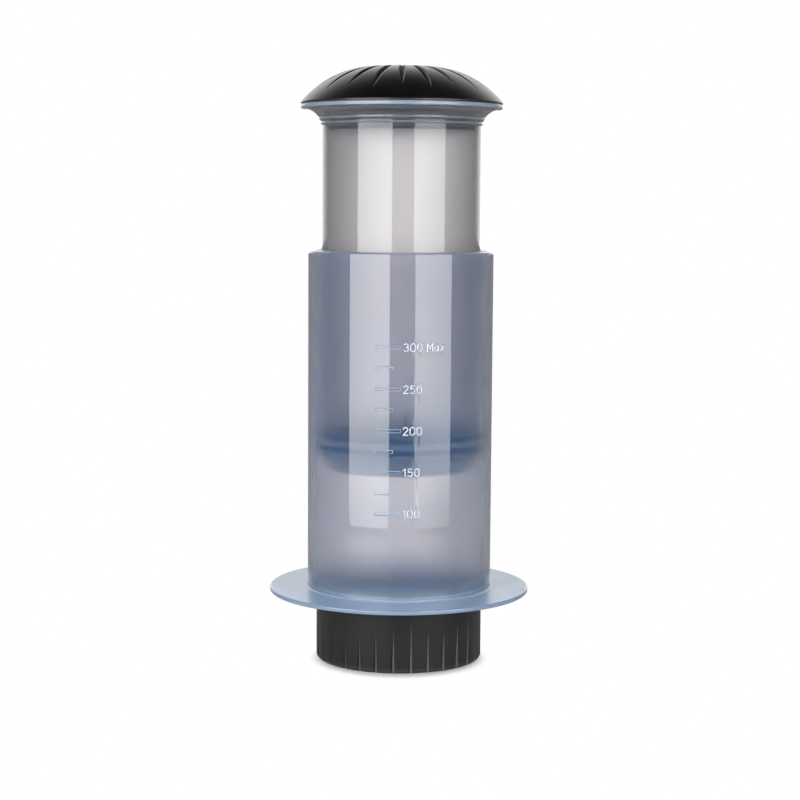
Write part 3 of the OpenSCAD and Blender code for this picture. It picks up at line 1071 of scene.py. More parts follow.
@dataclass
class Grooves:
    """V grooves that run down a turned surface: their angles, their size at each row, and a painted highlight
    band.
    """

    centres: np.ndarray
    half_angle: np.ndarray
    depth: np.ndarray
    plain: int = 3
    lit: tuple[float, float] = (-0.4, 0.5)
    shares: np.ndarray = field(
        default_factory=lambda: np.array([-1.3, -1.02, -0.8, -0.45, -0.1, 0.3, 0.6, 0.8, 1.02, 1.3])
    )
    deepest: float = -0.45
    softness: float = 0.012

    def grid(self) -> tuple[np.ndarray, np.ndarray, np.ndarray]:
        """Lays columns along the grooves' edges and between them.

        A groove's depth across it is a softened V: half of a + sqrt(a * a + softness), where a
        is 1 less the distance from its deepest line, as a share of that side's width.

        Returns:
            Each point's angle, how deep it is cut, and how much painted highlight it carries, row by column.
        """
        inside = self.centres[None, :, None] + self.half_angle[:, :, None] * self.shares
        turn = np.zeros(len(self.centres))
        turn[-1] = 2 * math.pi
        start, end = inside[..., -1], np.roll(inside[..., 0], -1, axis=1) + turn
        part = np.arange(1, self.plain + 1) / (self.plain + 1)
        between = start[..., None] + (end - start)[..., None] * part
        off = self.shares - self.deepest
        off = off / np.where(off < 0, 1 + self.deepest, 1 - self.deepest)
        a = 1 - np.sqrt(off**2 + self.softness)
        share = (a + np.sqrt(a * a + self.softness)) / 2
        share[[0, -1]] = 0
        # Painted highlight: the lit band across each groove's facet takes the worn colour.
        start_lit, end_lit = self.lit
        rubbed = 1.0 * (self.shares > start_lit) * (self.shares < end_lit)
        shallow = np.clip(self.depth / max(self.depth.max(), 1e-6) * 4, 0, 1)
        nothing = np.zeros_like(between)
        cut, worn = self.depth[:, :, None] * share, shallow[:, :, None] * rubbed
        runs = ((inside, between), (cut, nothing), (worn, nothing))
        angles, cut, worn = (np.concatenate(run, axis=-1).reshape(len(self.depth), -1) for run in runs)
        return angles, cut, worn


def grooved(
    line: Section,
    angles: np.ndarray,
    places: tuple[np.ndarray, np.ndarray],
    worn: np.ndarray,
    dull: np.ndarray,
) -> Patch:
    """Joins a turned surface that grooves were cut into.

    Args:
        line: The half section that was turned.
        angles: Each point's angle, row by column.
        places: Each point's radius and height.
        worn: The painted highlight that the grooves leave on each point.
        dull: How dull each point is.

    Returns:
        The surface, with its rounded corners slightly rubbed.
    """
    edge = np.maximum(worn, line.edge[:, None] * CORNER_WEAR).reshape(-1)
    faces = grid_faces(*angles.shape, False, True).tolist()
    return Patch(circled(places[0], angles, places[1]).reshape(-1, 3), faces, dull.reshape(-1), edge)


@dataclass
class FilterCap:
    """The grooved cap with its perforated floor and ledges, and the paper filter on it."""

    layout: Layout
    foot_round: float = 1.2
    rim_round: float = 0.5
    groove_count: int = 30
    groove_w: float = 2.2
    groove_depth: float = 0.95
    groove_turn: float = -3.5
    groove_tops: tuple[float, ...] = (19.1, 20.7, 17.0, 16.5, 18.1)
    drip_r: float = 0.9
    drip_pitch: float = 4.6
    ledge_h: float = 2.2
    ledge_angle: float = 40.0
    stop_angle: float = 3.0
    stop_play: float = 1.0
    paper_lap: float = 2.1
    least_w: float = 0.16
    edge_round: float = 0.3
    row_pitch: float = 0.9
    hole_sides: int = 24
    hole_wear: float = 0.4
    root: float = 0.4
    neck_chamfer: float = 0.6
    inner_margin: float = 0.6
    rim_margin: float = 1.0
    paper_columns: int = 180

    def shell(self) -> tuple[Patch, np.ndarray]:
        """Makes the cap's outer wall: turned, and cut back to cap radius less the groove's depth.

        Returns:
            The wall, open at the perforated floor, and the angles of its columns there.
        """
        lay = self.layout
        rows = np.arange(self.foot_round + 1, max(self.groove_tops) + 2, self.row_pitch)
        corners = [
            Corner(lay.cap_bore_r, lay.collar_h),
            Corner(lay.cap_bore_r, 0, self.edge_round),
            Corner(lay.cap_r, 0, self.foot_round),
            *[Corner(lay.cap_r, z) for z in rows],
            Corner(lay.cap_r, lay.cap_h, self.rim_round),
            Corner(lay.cap_bore_r, lay.cap_h, self.edge_round),
            Corner(lay.cap_bore_r, lay.sieve_z),
        ]
        line = section(corners, False)
        r, z = line.r[:, None], line.z[:, None]
        tops = np.array([self.groove_tops[i % len(self.groove_tops)] for i in range(self.groove_count)])
        outside = (r > lay.cap_bore_r + self.inner_margin) & (z < lay.cap_h - self.rim_margin)
        left = np.clip(1 - z / tops, 0, 1)
        half = np.maximum(self.groove_w / 2 * left, self.least_w)
        turns = self.groove_turn + np.arange(self.groove_count) * 360 / self.groove_count
        # Each groove carries a painted highlight on its lit facet, from the grooves' lit band.
        grooves = Grooves(FRONT + np.radians(turns), half / lay.cap_r, self.groove_depth * left * outside)
        angles, cut, worn = grooves.grid()
        cut_r = np.where(outside, np.minimum(r, lay.cap_r - cut), r)
        return grooved(line, angles, (cut_r, z), worn, np.zeros(cut.shape)), angles[0]

    def drips(self) -> np.ndarray:
        """Places the drip holes on a triangular grid within the neck's bore.

        Returns:
            Their centres, one a row.
        """
        lay = self.layout
        rings = int((lay.neck_bore_r - self.neck_chamfer - self.drip_r) // self.drip_pitch)
        return np.array([
            [(i - rings + abs(row) / 2) * self.drip_pitch, row * self.drip_pitch * math.sqrt(3) / 2]
            for row in range(-rings, rings + 1)
            for i in range(2 * rings - abs(row) + 1)
        ])

    def floor(self, angles: np.ndarray) -> list[Patch]:
        """Makes the perforated floor: two faces with round holes, and the holes' walls.

        Args:
            angles: Angles of the wall's columns at both faces.

        Returns:
            The patches.
        """
        lay, sides = self.layout, self.hole_sides
        centres = self.drips()
        spokes = np.arange(sides) * 2 * math.pi / sides
        holes = (centres[:, None, :] + circled(self.drip_r, spokes, 0.0)[:, :2]).reshape(-1, 2)
        flat = np.concatenate([circled(lay.cap_bore_r, angles, 0.0)[:, :2], holes])
        starts = [len(angles) + sides * i for i in range(len(centres))]
        loops = [np.arange(len(angles)), *[start + np.arange(sides) for start in starts]]
        edges = np.concatenate([np.stack([loop, np.roll(loop, -1)], axis=-1) for loop in loops])
        found = delaunay_2d_cdt(flat.tolist(), edges.tolist(), [], 1, 1e-7)
        places, triangles = np.array([v[:] for v in found[0]]), np.array(found[2])
        middles = places[triangles].mean(axis=1)
        clear = np.linalg.norm(middles[:, None] - centres, axis=-1).min(1) > self.drip_r * 0.99
        none, kept = np.zeros(len(places)), triangles[clear].tolist()
        heights = (lay.collar_h, lay.sieve_z)
        faces = [Patch(np.column_stack([places, none + z]), kept, none, none) for z in heights]
        wall = Section(np.array([[self.drip_r, z] for z in heights]), np.zeros(2), np.full(2, self.hole_wear))
        return faces + [moved(turned(wall, spokes, False), x, y) for x, y in centres]

    def ledges(self) -> list[Patch]:
        """Makes the ledges that hang on the lugs, each with its stop.

        Returns:
            The blocks.
        """
        lay = self.layout
        inner_r, outer_r = lay.neck_r + lay.run_gap, lay.cap_bore_r + self.root
        top = lay.ledge_z + self.ledge_h
        blocks = []
        for turn in np.arange(lay.lug_count) * 360 / lay.lug_count:
            stop = turn - (lay.lug_angle + self.stop_angle) / 2 - self.stop_play
            blocks.append(ring_block(inner_r, outer_r, lay.ledge_z, top, turn, self.ledge_angle))
            blocks.append(ring_block(inner_r, outer_r, lay.lug_z, top, stop, self.stop_angle))
        return blocks

    def build(self) -> None:
        """Makes the cap and the paper."""
        lay = self.layout
        shell, angles = self.shell()
        Piece("filter_cap", "cap", Finish.CAP, [shell, *self.floor(angles), *self.ledges()]).build()
        r, low, top = lay.neck_bore_r + self.paper_lap, lay.sieve_z, lay.sieve_z + lay.paper_t
        disc = section([Corner(0, low), Corner(r, low), Corner(r, top), Corner(0, top)], False)
        Piece("paper_filter", "cap", Finish.PAPER, [turned(disc, around(self.paper_columns), False)]).build()


@dataclass
class Plunger:
    """The hollow tube with its head and flared lip, and the seal snapped over the head."""

    layout: Layout
    lip_round: float = 0.5
    bead_h: float = 0.25
    bead_w: float = 0.3
    bead_drops: tuple[float, ...] = (5.5, 7.3)
    head_reach: float = 3.4
    seal_gap: float = 0.9
    seal_side: float = 4.7
    seal_taper_h: float = 7.0
    seal_taper_w: float = 4.5
    ring_h: float = 2.2
    ring_drop: float = 1.5
    ring_pitch: float = 4.4
    # Painted light on the seal: its taper is paled towards the foot, its sunk side between the rings half as
    # much.
    taper_bloom_h: float = 4.2
    side_bloom: float = 0.5
    flare_bloom: float = 0.02
    lip_bloom: float = 0.6
    # Painted highlight along each bead's crest.
    bead_bloom: float = 0.42
    flare_bloom_h: float = 6.0
    edge_bloom: float = 0.15
    lip_haze: float = 0.6
    taper_shares: tuple[float, ...] = (0.3, 0.5, 0.64, 0.78)
    taper_round: float = 1.5
    taper_bloom_rise: float = 1.4
    edge_round: float = 0.2
    head_round: float = 0.3
    foot_round: float = 0.8
    inner_rounds: tuple[float, float, float] = (0.6, 0.4, 1.0)
    tube_columns: int = 280
    seal_columns: int = 240

    def __post_init__(self) -> None:
        """Works out the radii of the seal, head and stem."""
        self.seal_r = self.layout.bore_r - self.seal_gap
        self.head_r = self.seal_r - self.seal_side
        self.stem_r = self.head_r - self.head_reach

    def tube(self) -> Section:
        """Draws the tube's half section, from the head's middle out and up to the lip, and down inside.

        Returns:
            The section.
        """
        lay, edge, head_round = self.layout, self.edge_round, self.head_round
        flare_r = lay.lip_r - lay.tube_r - self.lip_round
        centre = (lay.tube_r + flare_r, lay.lip_z - flare_r)
        bore_r = flare_r + lay.tube_wall
        mouth = math.degrees(math.asin((lay.lip_top_z - centre[1]) / bore_r))
        core_r, floor_z = self.stem_r - lay.tube_wall, lay.tube_end_z + lay.tube_wall
        wall_round, core_round, end_round = self.inner_rounds
        corners = [
            Corner(0, lay.head_z),
            Corner(self.stem_r, lay.head_z, head_round),
            Corner(self.head_r, lay.head_z + (self.head_r - self.stem_r) / 2, head_round),
            Corner(self.head_r, lay.stem_z, head_round),
            Corner(self.stem_r, lay.stem_z, edge),
            Corner(self.stem_r, lay.tube_end_z, edge),
            Corner(lay.tube_r, lay.tube_end_z, head_round),
            self.flare(centre, flare_r),
            Corner(lay.lip_r, lay.lip_z, self.lip_round),
            Corner(lay.lip_r, lay.lip_top_z, self.lip_round),
            arc(centre, bore_r, 180 - mouth, 180, 28),
            Corner(lay.tube_bore_r, floor_z, wall_round, 1.0),
            Corner(core_r, floor_z, core_round, 1.0),
            Corner(core_r, lay.head_z + lay.tube_wall, end_round, 1.0),
            Corner(0, lay.head_z + lay.tube_wall, 0, 1.0),
        ]
        line = section(corners, False, 1.0)
        outside = (line.z > lay.tube_end_z) & (line.r > lay.tube_r - NEAR)
        in_mouth = np.hypot(line.r - centre[0], line.z - centre[1]) > flare_r + 1
        line.inner[outside & ~in_mouth] = 0
        return line

    def bells(self, z: np.ndarray) -> list[np.ndarray]:
        """Returns each bead's bell curve at some heights."""
        offs = [(z - self.layout.lip_top_z + drop) / self.bead_w for drop in self.bead_drops]
        return [np.exp(-off * off) for off in offs]

    def flare(self, centre: tuple[float, float], radius: float) -> np.ndarray:
        """Draws the flare with its two fine beads: each pushes it out by a bell curve of the height.

        Args:
            centre: Centre of the flare's arc.
            radius: Its radius.

        Returns:
            The flare's points, from the tube up to the lip.
        """
        points = arc(centre, radius, 180, 90, 96)
        for bell in self.bells(points[:, 1]):
            points[:, 0] += self.bead_h * bell
        return points

    def seal(self) -> Section:
        """Draws the seal's half section: a cup with two half-round rings on its side.

        Returns:
            The section.
        """
        lay, edge, snug = self.layout, self.edge_round, self.layout.snug_gap
        ring_r, taper_r = lay.bore_r - lay.wipe_gap, self.seal_r - self.seal_taper_w
        swept = np.radians(np.linspace(-90, 90, 15))
        rings = [
            np.stack([
                self.seal_r + (ring_r - self.seal_r) * np.cos(swept),
                lay.tube_end_z - drop + self.ring_h / 2 * np.sin(swept),
            ], axis=-1)
            for drop in (self.ring_drop + self.ring_pitch, self.ring_drop)
        ]
        corners = [
            Corner(0, lay.seal_z),
            Corner(taper_r, lay.seal_z, self.foot_round),
            *[Corner(self.seal_r - self.seal_taper_w * (1 - share), lay.seal_z + self.seal_taper_h * share)
              for share in self.taper_shares],
            Corner(self.seal_r, lay.seal_z + self.seal_taper_h, self.taper_round),
            *rings,
            Corner(self.seal_r, lay.tube_end_z, edge),
            Corner(self.stem_r + snug, lay.tube_end_z, edge),
            Corner(self.stem_r + snug, lay.stem_z + snug),
            Corner(self.head_r + snug, lay.stem_z + snug),
            Corner(self.head_r + snug, lay.head_z),
            Corner(0, lay.head_z),
        ]
        line = section(corners, False)
        # Painted light: the worn colour pales the taper towards its foot and, by half, the side sunk between
        # the rings.
        below = (lay.seal_z + self.seal_taper_h + self.taper_bloom_rise - line.z) / self.taper_bloom_h
        sunk = np.clip((ring_r - line.r) / (ring_r - self.seal_r), 0, 1)
        line.edge = np.maximum(np.clip(below, 0, 1), self.side_bloom * sunk) * (line.r > 1)
        return line

    def build(self) -> None:
        """Makes the tube and the seal."""
        lay, tube = self.layout, self.tube()
        on_lip = tube.z > lay.lip_z - 0.1
        rise = np.clip((tube.z - lay.lip_z + self.flare_bloom_h) / 2, 0, 1)
        tube.edge = np.maximum(tube.edge * self.edge_bloom, self.flare_bloom * rise)
        tube.edge = np.maximum(tube.edge, self.lip_bloom * on_lip)
        outer = (tube.r > lay.tube_r - NEAR) & (tube.inner < 0.5)
        # Painted highlight: each bead's crest is paled into a light line.
        for bell in self.bells(tube.z):
            tube.edge = np.maximum(tube.edge, self.bead_bloom * bell * outer)
        tube.inner = np.maximum(tube.inner, self.lip_haze * on_lip)
        tube_wall = turned(tube, around(self.tube_columns), False)
        seal_wall = turned(self.seal(), around(self.seal_columns), False)
        Piece("plunger_tube", "plunger", Finish.PLUNGER, [tube_wall]).build()
        Piece("plunger_seal", "seal", Finish.SEAL, [seal_wall]).build()


@dataclass
class Lid:
    """The fluted dome, the liner that closes it, and the gasket on the liner's spigot."""

    layout: Layout
    crown_r: float = 36.6
    edge_h: float = 0.4
    shadow_h: float = 0.3
    shadow_w: float = 0.9
    wall: float = 3.0
    flute_count: int = 20
    flute_depth: float = 1.15
    flute_w: float = 2.5
    flute_margin: float = 3.6
    flute_lead: float = 4.0
    flute_stagger: float = 1.4
    liner_t: float = 1.8
    spigot_l: float = 10.0
    spigot_wall: float = 3.4
    spigot_gap: float = 0.5
    peg_r: float = 1.3
    peg_l: float = 4.5
    boss_r: float = 3.0
    peg_count: int = 3
    peg_place_share: float = 0.8
    gasket_r: float = 1.0
    gasket_rise: float = 1.9
    least_w: float = 0.14
    crown_radii: tuple[float, ...] = (9.3, 8.4)
    middle_radii: tuple[float, ...] = (5.0, 2.5)
    lead_step: float = 0.4
    flute_columns: int = 9
    # Shares across each flute that carry a painted highlight along its lit edge.
    flute_wear: tuple[float, float] = (0.5, 1.1)
    dull_depth: float = 0.2
    root: float = 0.4
    edge_round: float = 0.1
    mouth_round: float = 0.3
    spigot_round: float = 0.4
    rim_round: float = 0.15
    liner_columns: int = 240
    gasket_columns: int = 200
    boss_columns: int = 40
    peg_columns: int = 32

    def __post_init__(self) -> None:
        """Works out the dome's arc and the spigot's radii."""
        lay = self.layout
        self.dome_z = lay.lip_top_z + self.shadow_h
        self.top_z = lay.lip_top_z + lay.lid_h
        self.crown_z = self.top_z - self.crown_r
        rise = self.dome_z + self.edge_h - self.crown_z
        self.centre_r = lay.lip_r - math.sqrt(self.crown_r**2 - rise**2)
        self.liner_top_z = lay.lip_top_z + self.liner_t
        self.inner_r = self.crown_r - self.wall
        self.mouth_r = self.centre_r + math.sqrt(self.inner_r**2 - (self.liner_top_z - self.crown_z) ** 2)
        self.spigot_r = lay.tube_bore_r - self.spigot_gap
        self.spigot_bore_r = self.spigot_r - self.spigot_wall
        self.spigot_z = lay.lip_top_z - self.spigot_l
        self.gasket_z = self.spigot_z + self.gasket_rise
        self.gasket_place_r = lay.tube_bore_r - lay.wipe_gap - self.gasket_r
        self.lead_r = self.centre_r - self.crown_r * math.sin(math.radians(self.flute_lead))

    def flute_depths(self, r: np.ndarray, lean: np.ndarray) -> np.ndarray:
        """Works out how deep the flutes are: each dips under the shoulder's arc along a flatter arc.

        With s the shift between both arcs' centres, and p the flatter arc's radius, the flute's
        bottom at a lean a is s * cos(a - middle) + sqrt(p * p - (s * sin(a - middle)) ** 2)
        from the shoulder's centre. Over the flat crown, the flatter arc is measured straight down.

        Args:
            r: Radius of each row.
            lean: Angle of each row from the crown, in radians.

        Returns:
            The depths, row by flute.
        """
        short = np.arange(self.flute_count) % 2 == 0
        end_r = self.layout.lip_r - self.flute_margin - self.flute_stagger * short
        end, lead = np.arcsin((end_r - self.centre_r) / self.crown_r), math.radians(self.flute_lead)
        middle, half = (end - lead) / 2, (end + lead) / 2
        low_r = self.crown_r - self.flute_depth
        shift = (low_r**2 - self.crown_r**2) / (2 * (low_r - self.crown_r * np.cos(half)))
        off = lean[:, None] - middle
        bottom = shift * np.cos(off) + np.sqrt((low_r - shift) ** 2 - (shift * np.sin(off)) ** 2)
        across = r[:, None] - self.centre_r - shift * np.sin(middle)
        flat = shift * np.cos(middle) + np.sqrt(np.maximum((low_r - shift) ** 2 - across**2, 0))
        flat = np.where(r[:, None] > self.lead_r - 1e-6, flat, self.crown_r)
        bottom = np.where(r[:, None] < self.centre_r - 1e-6, flat, bottom)
        return np.clip(self.crown_r - bottom, 0, self.flute_depth)

    def dome(self) -> Patch:
        """Makes the dome: turned, with its shoulder moved in along its own normal where a flute is.

        Returns:
            The closed shell.
        """
        lay = self.layout
        edge_z, under_r = self.dome_z + self.edge_h, lay.lip_r - self.shadow_w
        outer_end = math.degrees(math.asin((edge_z - self.crown_z) / self.crown_r))
        inner_start = math.degrees(math.asin((self.liner_top_z - self.crown_z) / self.inner_r))
        centre = (self.centre_r, self.crown_z)
        crown = (*self.crown_radii, self.lead_r, self.lead_r - self.lead_step, *self.middle_radii)
        corners = [
            Corner(0, self.top_z - self.wall),
            arc(centre, self.inner_r, 90, inner_start, 24),
            Corner(self.mouth_r, lay.lip_top_z),
            Corner(under_r, lay.lip_top_z),
            Corner(under_r, self.dome_z),
            Corner(lay.lip_r, self.dome_z, self.rim_round),
            arc(centre, self.crown_r, outer_end, 90, 84),
            *[np.array([[r, self.top_z]]) for r in crown],
            Corner(0, self.top_z),
        ]
        line = section(corners, False)
        off_r, off_z = line.r - self.centre_r, line.z - self.crown_z
        lean = np.maximum(np.arctan2(off_r, off_z), 0)
        outside = (np.abs(np.hypot(off_r, off_z) - self.crown_r) < NEAR) | (line.z > self.top_z - SAME)
        depth = self.flute_depths(line.r, lean) * outside[:, None]
        half = np.maximum(self.flute_w / 2 * depth / self.flute_depth, self.least_w)
        half_angle = half / np.maximum(line.r, self.middle_radii[0])[:, None]
        centres = around(self.flute_count)
        # Painted highlight along each flute's lit edge.
        flutes = Grooves(centres, half_angle, depth, self.flute_columns, self.flute_wear)
        angles, cut, worn = flutes.grid()
        cut_r = line.r[:, None] - cut * np.sin(lean)[:, None]
        cut_z = line.z[:, None] - cut * np.cos(lean)[:, None]
        return grooved(line, angles, (cut_r, cut_z), worn, np.clip(cut / self.dull_depth, 0, 1))

    def pegs(self) -> list[tuple[float, float]]:
        """Returns where the pegs stand."""
        place = self.spigot_bore_r * self.peg_place_share
        turns = [2 * math.pi * i / self.peg_count for i in range(self.peg_count)]
        return [(place * math.cos(turn), place * math.sin(turn)) for turn in turns]

    def bosses(self) -> list[Patch]:
        """Makes the bosses under the dome that take the pegs.

        Returns:
            One closed sleeve for each.
        """
        hole_r, low = self.peg_r + self.layout.snug_gap, self.liner_top_z
        high = self.top_z - self.wall + self.root
        rows = ((hole_r, low), (self.boss_r, low), (self.boss_r, high), (hole_r, high))
        sleeve = turned(section([Corner(r, z) for r, z in rows], True), around(self.boss_columns), True)
        return [moved(sleeve, x, y) for x, y in self.pegs()]

    def liner(self) -> list[Patch]:
        """Makes the liner: a turned plate with the grooved spigot, and the pegs on it.

        Returns:
            The patches.
        """
        lay, edge = self.layout, self.edge_round
        reach = self.gasket_r + lay.snug_gap
        groove_r = self.gasket_place_r - self.gasket_r - lay.snug_gap
        plate_r = self.mouth_r - lay.snug_gap
        low, high = self.gasket_z - reach, self.gasket_z + reach
        corners = [
            Corner(0, lay.lip_top_z),
            Corner(self.spigot_bore_r, lay.lip_top_z, self.mouth_round),
            Corner(self.spigot_bore_r, self.spigot_z, self.spigot_round),
            Corner(self.spigot_r, self.spigot_z, self.spigot_round),
            Corner(self.spigot_r, low, edge),
            Corner(groove_r, low),
            Corner(groove_r, high),
            Corner(self.spigot_r, high, edge),
            Corner(self.spigot_r, lay.lip_top_z),
            Corner(plate_r, lay.lip_top_z, edge),
            Corner(plate_r, self.liner_top_z, edge),
            Corner(0, self.liner_top_z),
        ]
        root, top = self.liner_top_z - self.root, self.liner_top_z + self.peg_l
        rows = ((0, root), (self.peg_r, root), (self.peg_r, top, self.mouth_round), (0, top))
        peg = turned(section([Corner(*row) for row in rows], False), around(self.peg_columns), False)
        plate = turned(section(corners, False), around(self.liner_columns), False)
        return [plate, *[moved(peg, x, y) for x, y in self.pegs()]]

    def build(self) -> None:
        """Makes the dome, the liner and the gasket."""
        Piece("dome_lid", "lid", Finish.DOME, [self.dome(), *self.bosses()]).build()
        Piece("lid_liner", "lid", Finish.LINER, self.liner()).build()
        circle = arc((self.gasket_place_r, self.gasket_z), self.gasket_r, 0, 345, 23)
        loop = Section(circle, np.zeros(len(circle)), np.zeros(len(circle)))
        Piece("lid_gasket", "lid", Finish.GASKET, [turned(loop, around(self.gasket_columns), True)]).build()


def sheet(name: str, points: Sequence, faces: Sequence, material: bpy.types.Material) -> bpy.types.Object:
    """Makes a sheet of the studio.

    Args:
        name: Its name.
        points: Its points in metres.
        faces: Its faces by point number.
        material: What it is made of.

    Returns:
        The sheet, linked to the scene.
    """
    mesh = bpy.data.meshes.new(name)
    mesh.from_pydata(points, [], faces)
    mesh.materials.append(material)
    return linked(name, mesh)


@dataclass(frozen=True)
class SoftBox:
    """A bright panel bent round the press, dimmer at its foot and where it is seen straight through."""

    name: str
    start: float
    end: float
    low: float = 4.0
    high: float = 300.0
    reach: float = 335.0
    corner: float = 14.0
    radiance: float = 5.0
    seen_through: float = 1.3
    fade: tuple[float, float] = (8.0, 52.0)
    foot_share: float = 0.5

    def build(self) -> None:
        """Makes the panel, which the camera doesn't see: a quarter circle rounds each of its corners."""
        material, graph = new_material(self.name)
        up = graph.axis(graph.place(), "Z")
        level = up.step(self.fade[0] * METRES, self.fade[1] * METRES, self.foot_share, 1.0)
        scattered = graph.add("ShaderNodeLightPath", output="Diffuse Depth").math("MINIMUM", 1.0)
        straight = graph.ray("Transmission") * (1.0 - scattered)
        strength = straight * (self.seen_through - self.radiance) + self.radiance
        front = graph.add("ShaderNodeNewGeometry", output="Backfacing")
        graph.finish(graph.emission(front * level * strength))
        heights = np.concatenate([
            self.low + self.corner * (1 - np.cos(np.linspace(0, math.pi / 2, 9))),
            self.high - self.corner * (1 - np.cos(np.linspace(math.pi / 2, 0, 9))),
        ])
        short = np.clip(self.corner - np.minimum(heights - self.low, self.high - heights), 0, self.corner)
        inset = np.degrees((self.corner - np.sqrt(self.corner**2 - short**2)) / self.reach)
        share = np.linspace(0, 1, 41)
        width = self.end - self.start - 2 * inset
        angles = FRONT + np.radians(self.start + inset[:, None] + width[:, None] * share)
        points = circled(self.reach * METRES, angles, heights[:, None] * METRES).reshape(-1, 3)
        faces = grid_faces(*angles.shape, False, False).tolist()
        panel = sheet(self.name, points.tolist(), faces, material)
        panel.visible_camera = False


@dataclass(frozen=True)
class Screen:
    """A narrow lit screen close behind the press, seen only through the plastic.

    It is brightest down its middle, and its levels low down differ from those higher up.
    """

    distance: float = 58.0
    half_w: float = 40.0
    low: float = 1.0
    high: float = 330.0
    middle: float = 1.07
    sides: float = 0.33
    low_middle: float = 0.86
    low_sides: float = 0.42
    fade: tuple[float, float] = (7.0, 36.0)
    change: tuple[float, float] = (40.0, 100.0)
    lean: float = 0.035
    upright_z: float = 150.0

    def build(self) -> None:
        """Makes the screen, which neither the camera nor a reflection sees."""
        material, graph = new_material("screen")
        place = graph.place()
        up = graph.axis(place, "Z")
        across = graph.axis(place, "X") - (up - self.upright_z * METRES) * self.lean
        start, end = (x * METRES for x in self.fade)
        upper, lower = (
            across.math("ABSOLUTE").step(start, end, middle, side)
            for middle, side in ((self.middle, self.sides), (self.low_middle, self.low_sides))
        )
        above = up.step(self.change[0] * METRES, self.change[1] * METRES)
        graph.finish(graph.emission(above * (upper - lower) + lower))
        points = [
            (x * METRES, self.distance * METRES, z * METRES)
            for x, z in ((-self.half_w, self.low), (self.half_w, self.low), (self.half_w, self.high),
                         (-self.half_w, self.high))
        ]
        screen = sheet("screen", points, [(0, 1, 2, 3)], material)
        screen.visible_camera = screen.visible_diffuse = screen.visible_glossy = False
        screen.visible_shadow = screen.visible_volume_scatter = False


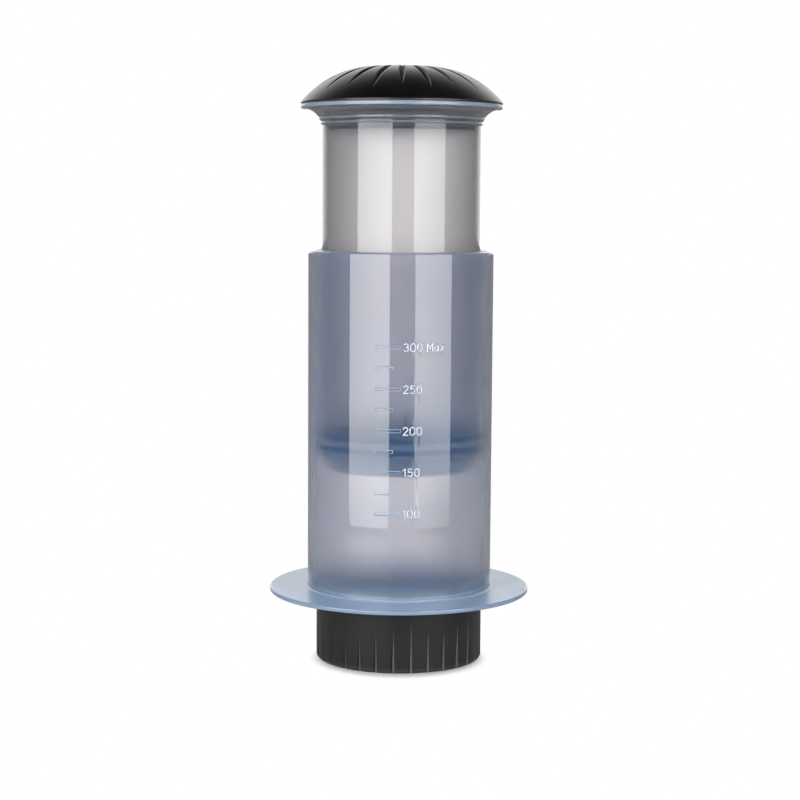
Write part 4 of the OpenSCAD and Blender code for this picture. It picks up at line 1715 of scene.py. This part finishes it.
@dataclass
class Studio:
    """The camera, the soft boxes, the screen, the white surround and the floor."""

    camera_y: float = -740.1
    camera_z: float = 177.2
    pitch: float = 5.957
    roll: float = 0.38
    focal_px: float = 1928.6
    image_px: float = 800.0
    sensor: float = 36.0
    clip: tuple[float, float] = (0.01, 20.0)
    bounces: int = 24
    fill: float = 0.3
    backdrop: tuple[float, float] = (0.8, 0.99)
    back_light: float = 1.0
    mirror_light: float = 1.7
    side_light: float = 0.08
    mirror_backdrop: tuple[float, float] = (0.6, 0.97)
    backdrop_turn: float = 3.0
    overhead: tuple[float, float] = (0.4, 0.95)
    overhead_share: float = 0.03
    floor_half: float = 6.0
    floor_grey: float = 0.66
    shadow_shift: float = 5.0
    shadow_fade: tuple[float, float] = (27.5, 35.2)
    screen: Screen = Screen()
    boxes: tuple[SoftBox, ...] = (
        SoftBox("left_box", -62.0, -12.5, foot_share=0.6),
        SoftBox("right_box", 17.0, 62.0, radiance=4.3, foot_share=0.34),
    )

    def camera(self) -> None:
        """Places the camera where the photograph was taken from."""
        data = bpy.data.cameras.new("camera")
        data.sensor_width = self.sensor
        data.lens = self.focal_px / self.image_px * self.sensor
        data.clip_start, data.clip_end = self.clip
        camera = linked("camera", data)
        pitch = Matrix.Rotation(math.radians(90 - self.pitch), 4, "X")
        roll = Matrix.Rotation(math.radians(self.roll), 4, "Z")
        place = Matrix.Translation((0, self.camera_y * METRES, self.camera_z * METRES))
        camera.matrix_world = place @ (pitch @ roll)
        bpy.context.scene.camera = camera

    def world(self) -> None:
        """Makes the surround, which is white to the camera.

        To clear and shiny pieces it is bright low down behind the press and dark elsewhere, and
        it lights everything else evenly.
        """
        world = bpy.data.worlds.new("surround")
        world.use_nodes = True
        bpy.context.scene.world = world
        graph = Graph(world.node_tree)
        camera, glossy, through = (graph.ray(kind) for kind in ("Camera", "Glossy", "Transmission"))
        way = graph.add("ShaderNodeTexCoord", output="Generated")
        up, back = graph.axis(way, "Z"), graph.axis(way, "Y")
        lean = math.radians(self.backdrop_turn)
        middle = (-math.sin(lean), math.cos(lean), 0.0)
        facing = graph.add("ShaderNodeVectorMath", {"operation": "DOT_PRODUCT"}, {0: way, 1: middle}, "Value")
        level = (1.0 - up * up).math("POWER", 0.5) + 0.001
        behind = facing.math("DIVIDE", level).step(*self.backdrop, self.side_light, self.back_light)
        mirrored = back.math("DIVIDE", level).step(*self.mirror_backdrop, self.side_light, self.mirror_light)
        reflected = glossy * (1.0 - through)
        behind = reflected * (mirrored - behind) + behind
        low_down = up.step(*self.overhead, 1.0, self.overhead_share) * behind
        strength = glossy.math("MAXIMUM", through) * (low_down - self.fill) + self.fill
        strength = camera * (1.0 - strength) + strength
        values = {"Color": (1.0, 1.0, 1.0, 1.0), "Strength": strength}
        background = graph.add("ShaderNodeBackground", {}, values)
        graph.add("ShaderNodeOutputWorld", {}, {"Surface": background})

    def floor(self) -> None:
        """Makes the floor, matt close to the press and plain white further out, so the shadow stays close."""
        material, graph = new_material("floor")
        shift = (0.0, self.shadow_shift * METRES, 0.0)
        drawn = graph.add("ShaderNodeMapping", {}, {"Vector": graph.place(), "Location": shift})
        distance = graph.add("ShaderNodeVectorMath", {"operation": "LENGTH"}, {0: drawn}, "Value")
        far = distance.step(self.shadow_fade[0] * METRES, self.shadow_fade[1] * METRES)
        seen = graph.ray("Camera").math("MAXIMUM", graph.ray("Transmission"))
        near = graph.add("ShaderNodeBsdfDiffuse", {}, {"Color": (*(self.floor_grey,) * 3, 1.0)})
        graph.finish(graph.add("ShaderNodeMixShader", {}, {0: far * seen, 1: near, 2: graph.emission(1.0)}))
        half = self.floor_half
        points = [(-half, -half, 0), (half, -half, 0), (half, half, 0), (-half, half, 0)]
        floor = sheet("floor", points, [(0, 1, 2, 3)], material)

    def build(self) -> None:
        """Makes the studio, with a plain view transform."""
        scene = bpy.context.scene
        scene.view_settings.view_transform = "Standard"
        scene.cycles.use_denoising = True
        scene.cycles.max_bounces = scene.cycles.transmission_bounces = self.bounces
        self.camera()
        self.world()
        self.floor()
        self.screen.build()
        for box in self.boxes:
            box.build()


def main() -> None:
    """Loads the frame, and builds the press and the studio."""
    logging.basicConfig(level=logging.INFO, format="%(message)s")
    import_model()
    layout = Layout()
    for part in (Chamber(layout), FilterCap(layout), Plunger(layout), Lid(layout), Studio()):
        LOG.info("building %s", type(part).__name__)
        part.build()
    bpy.context.view_layer.update()


if __name__ == "__main__":
    main()
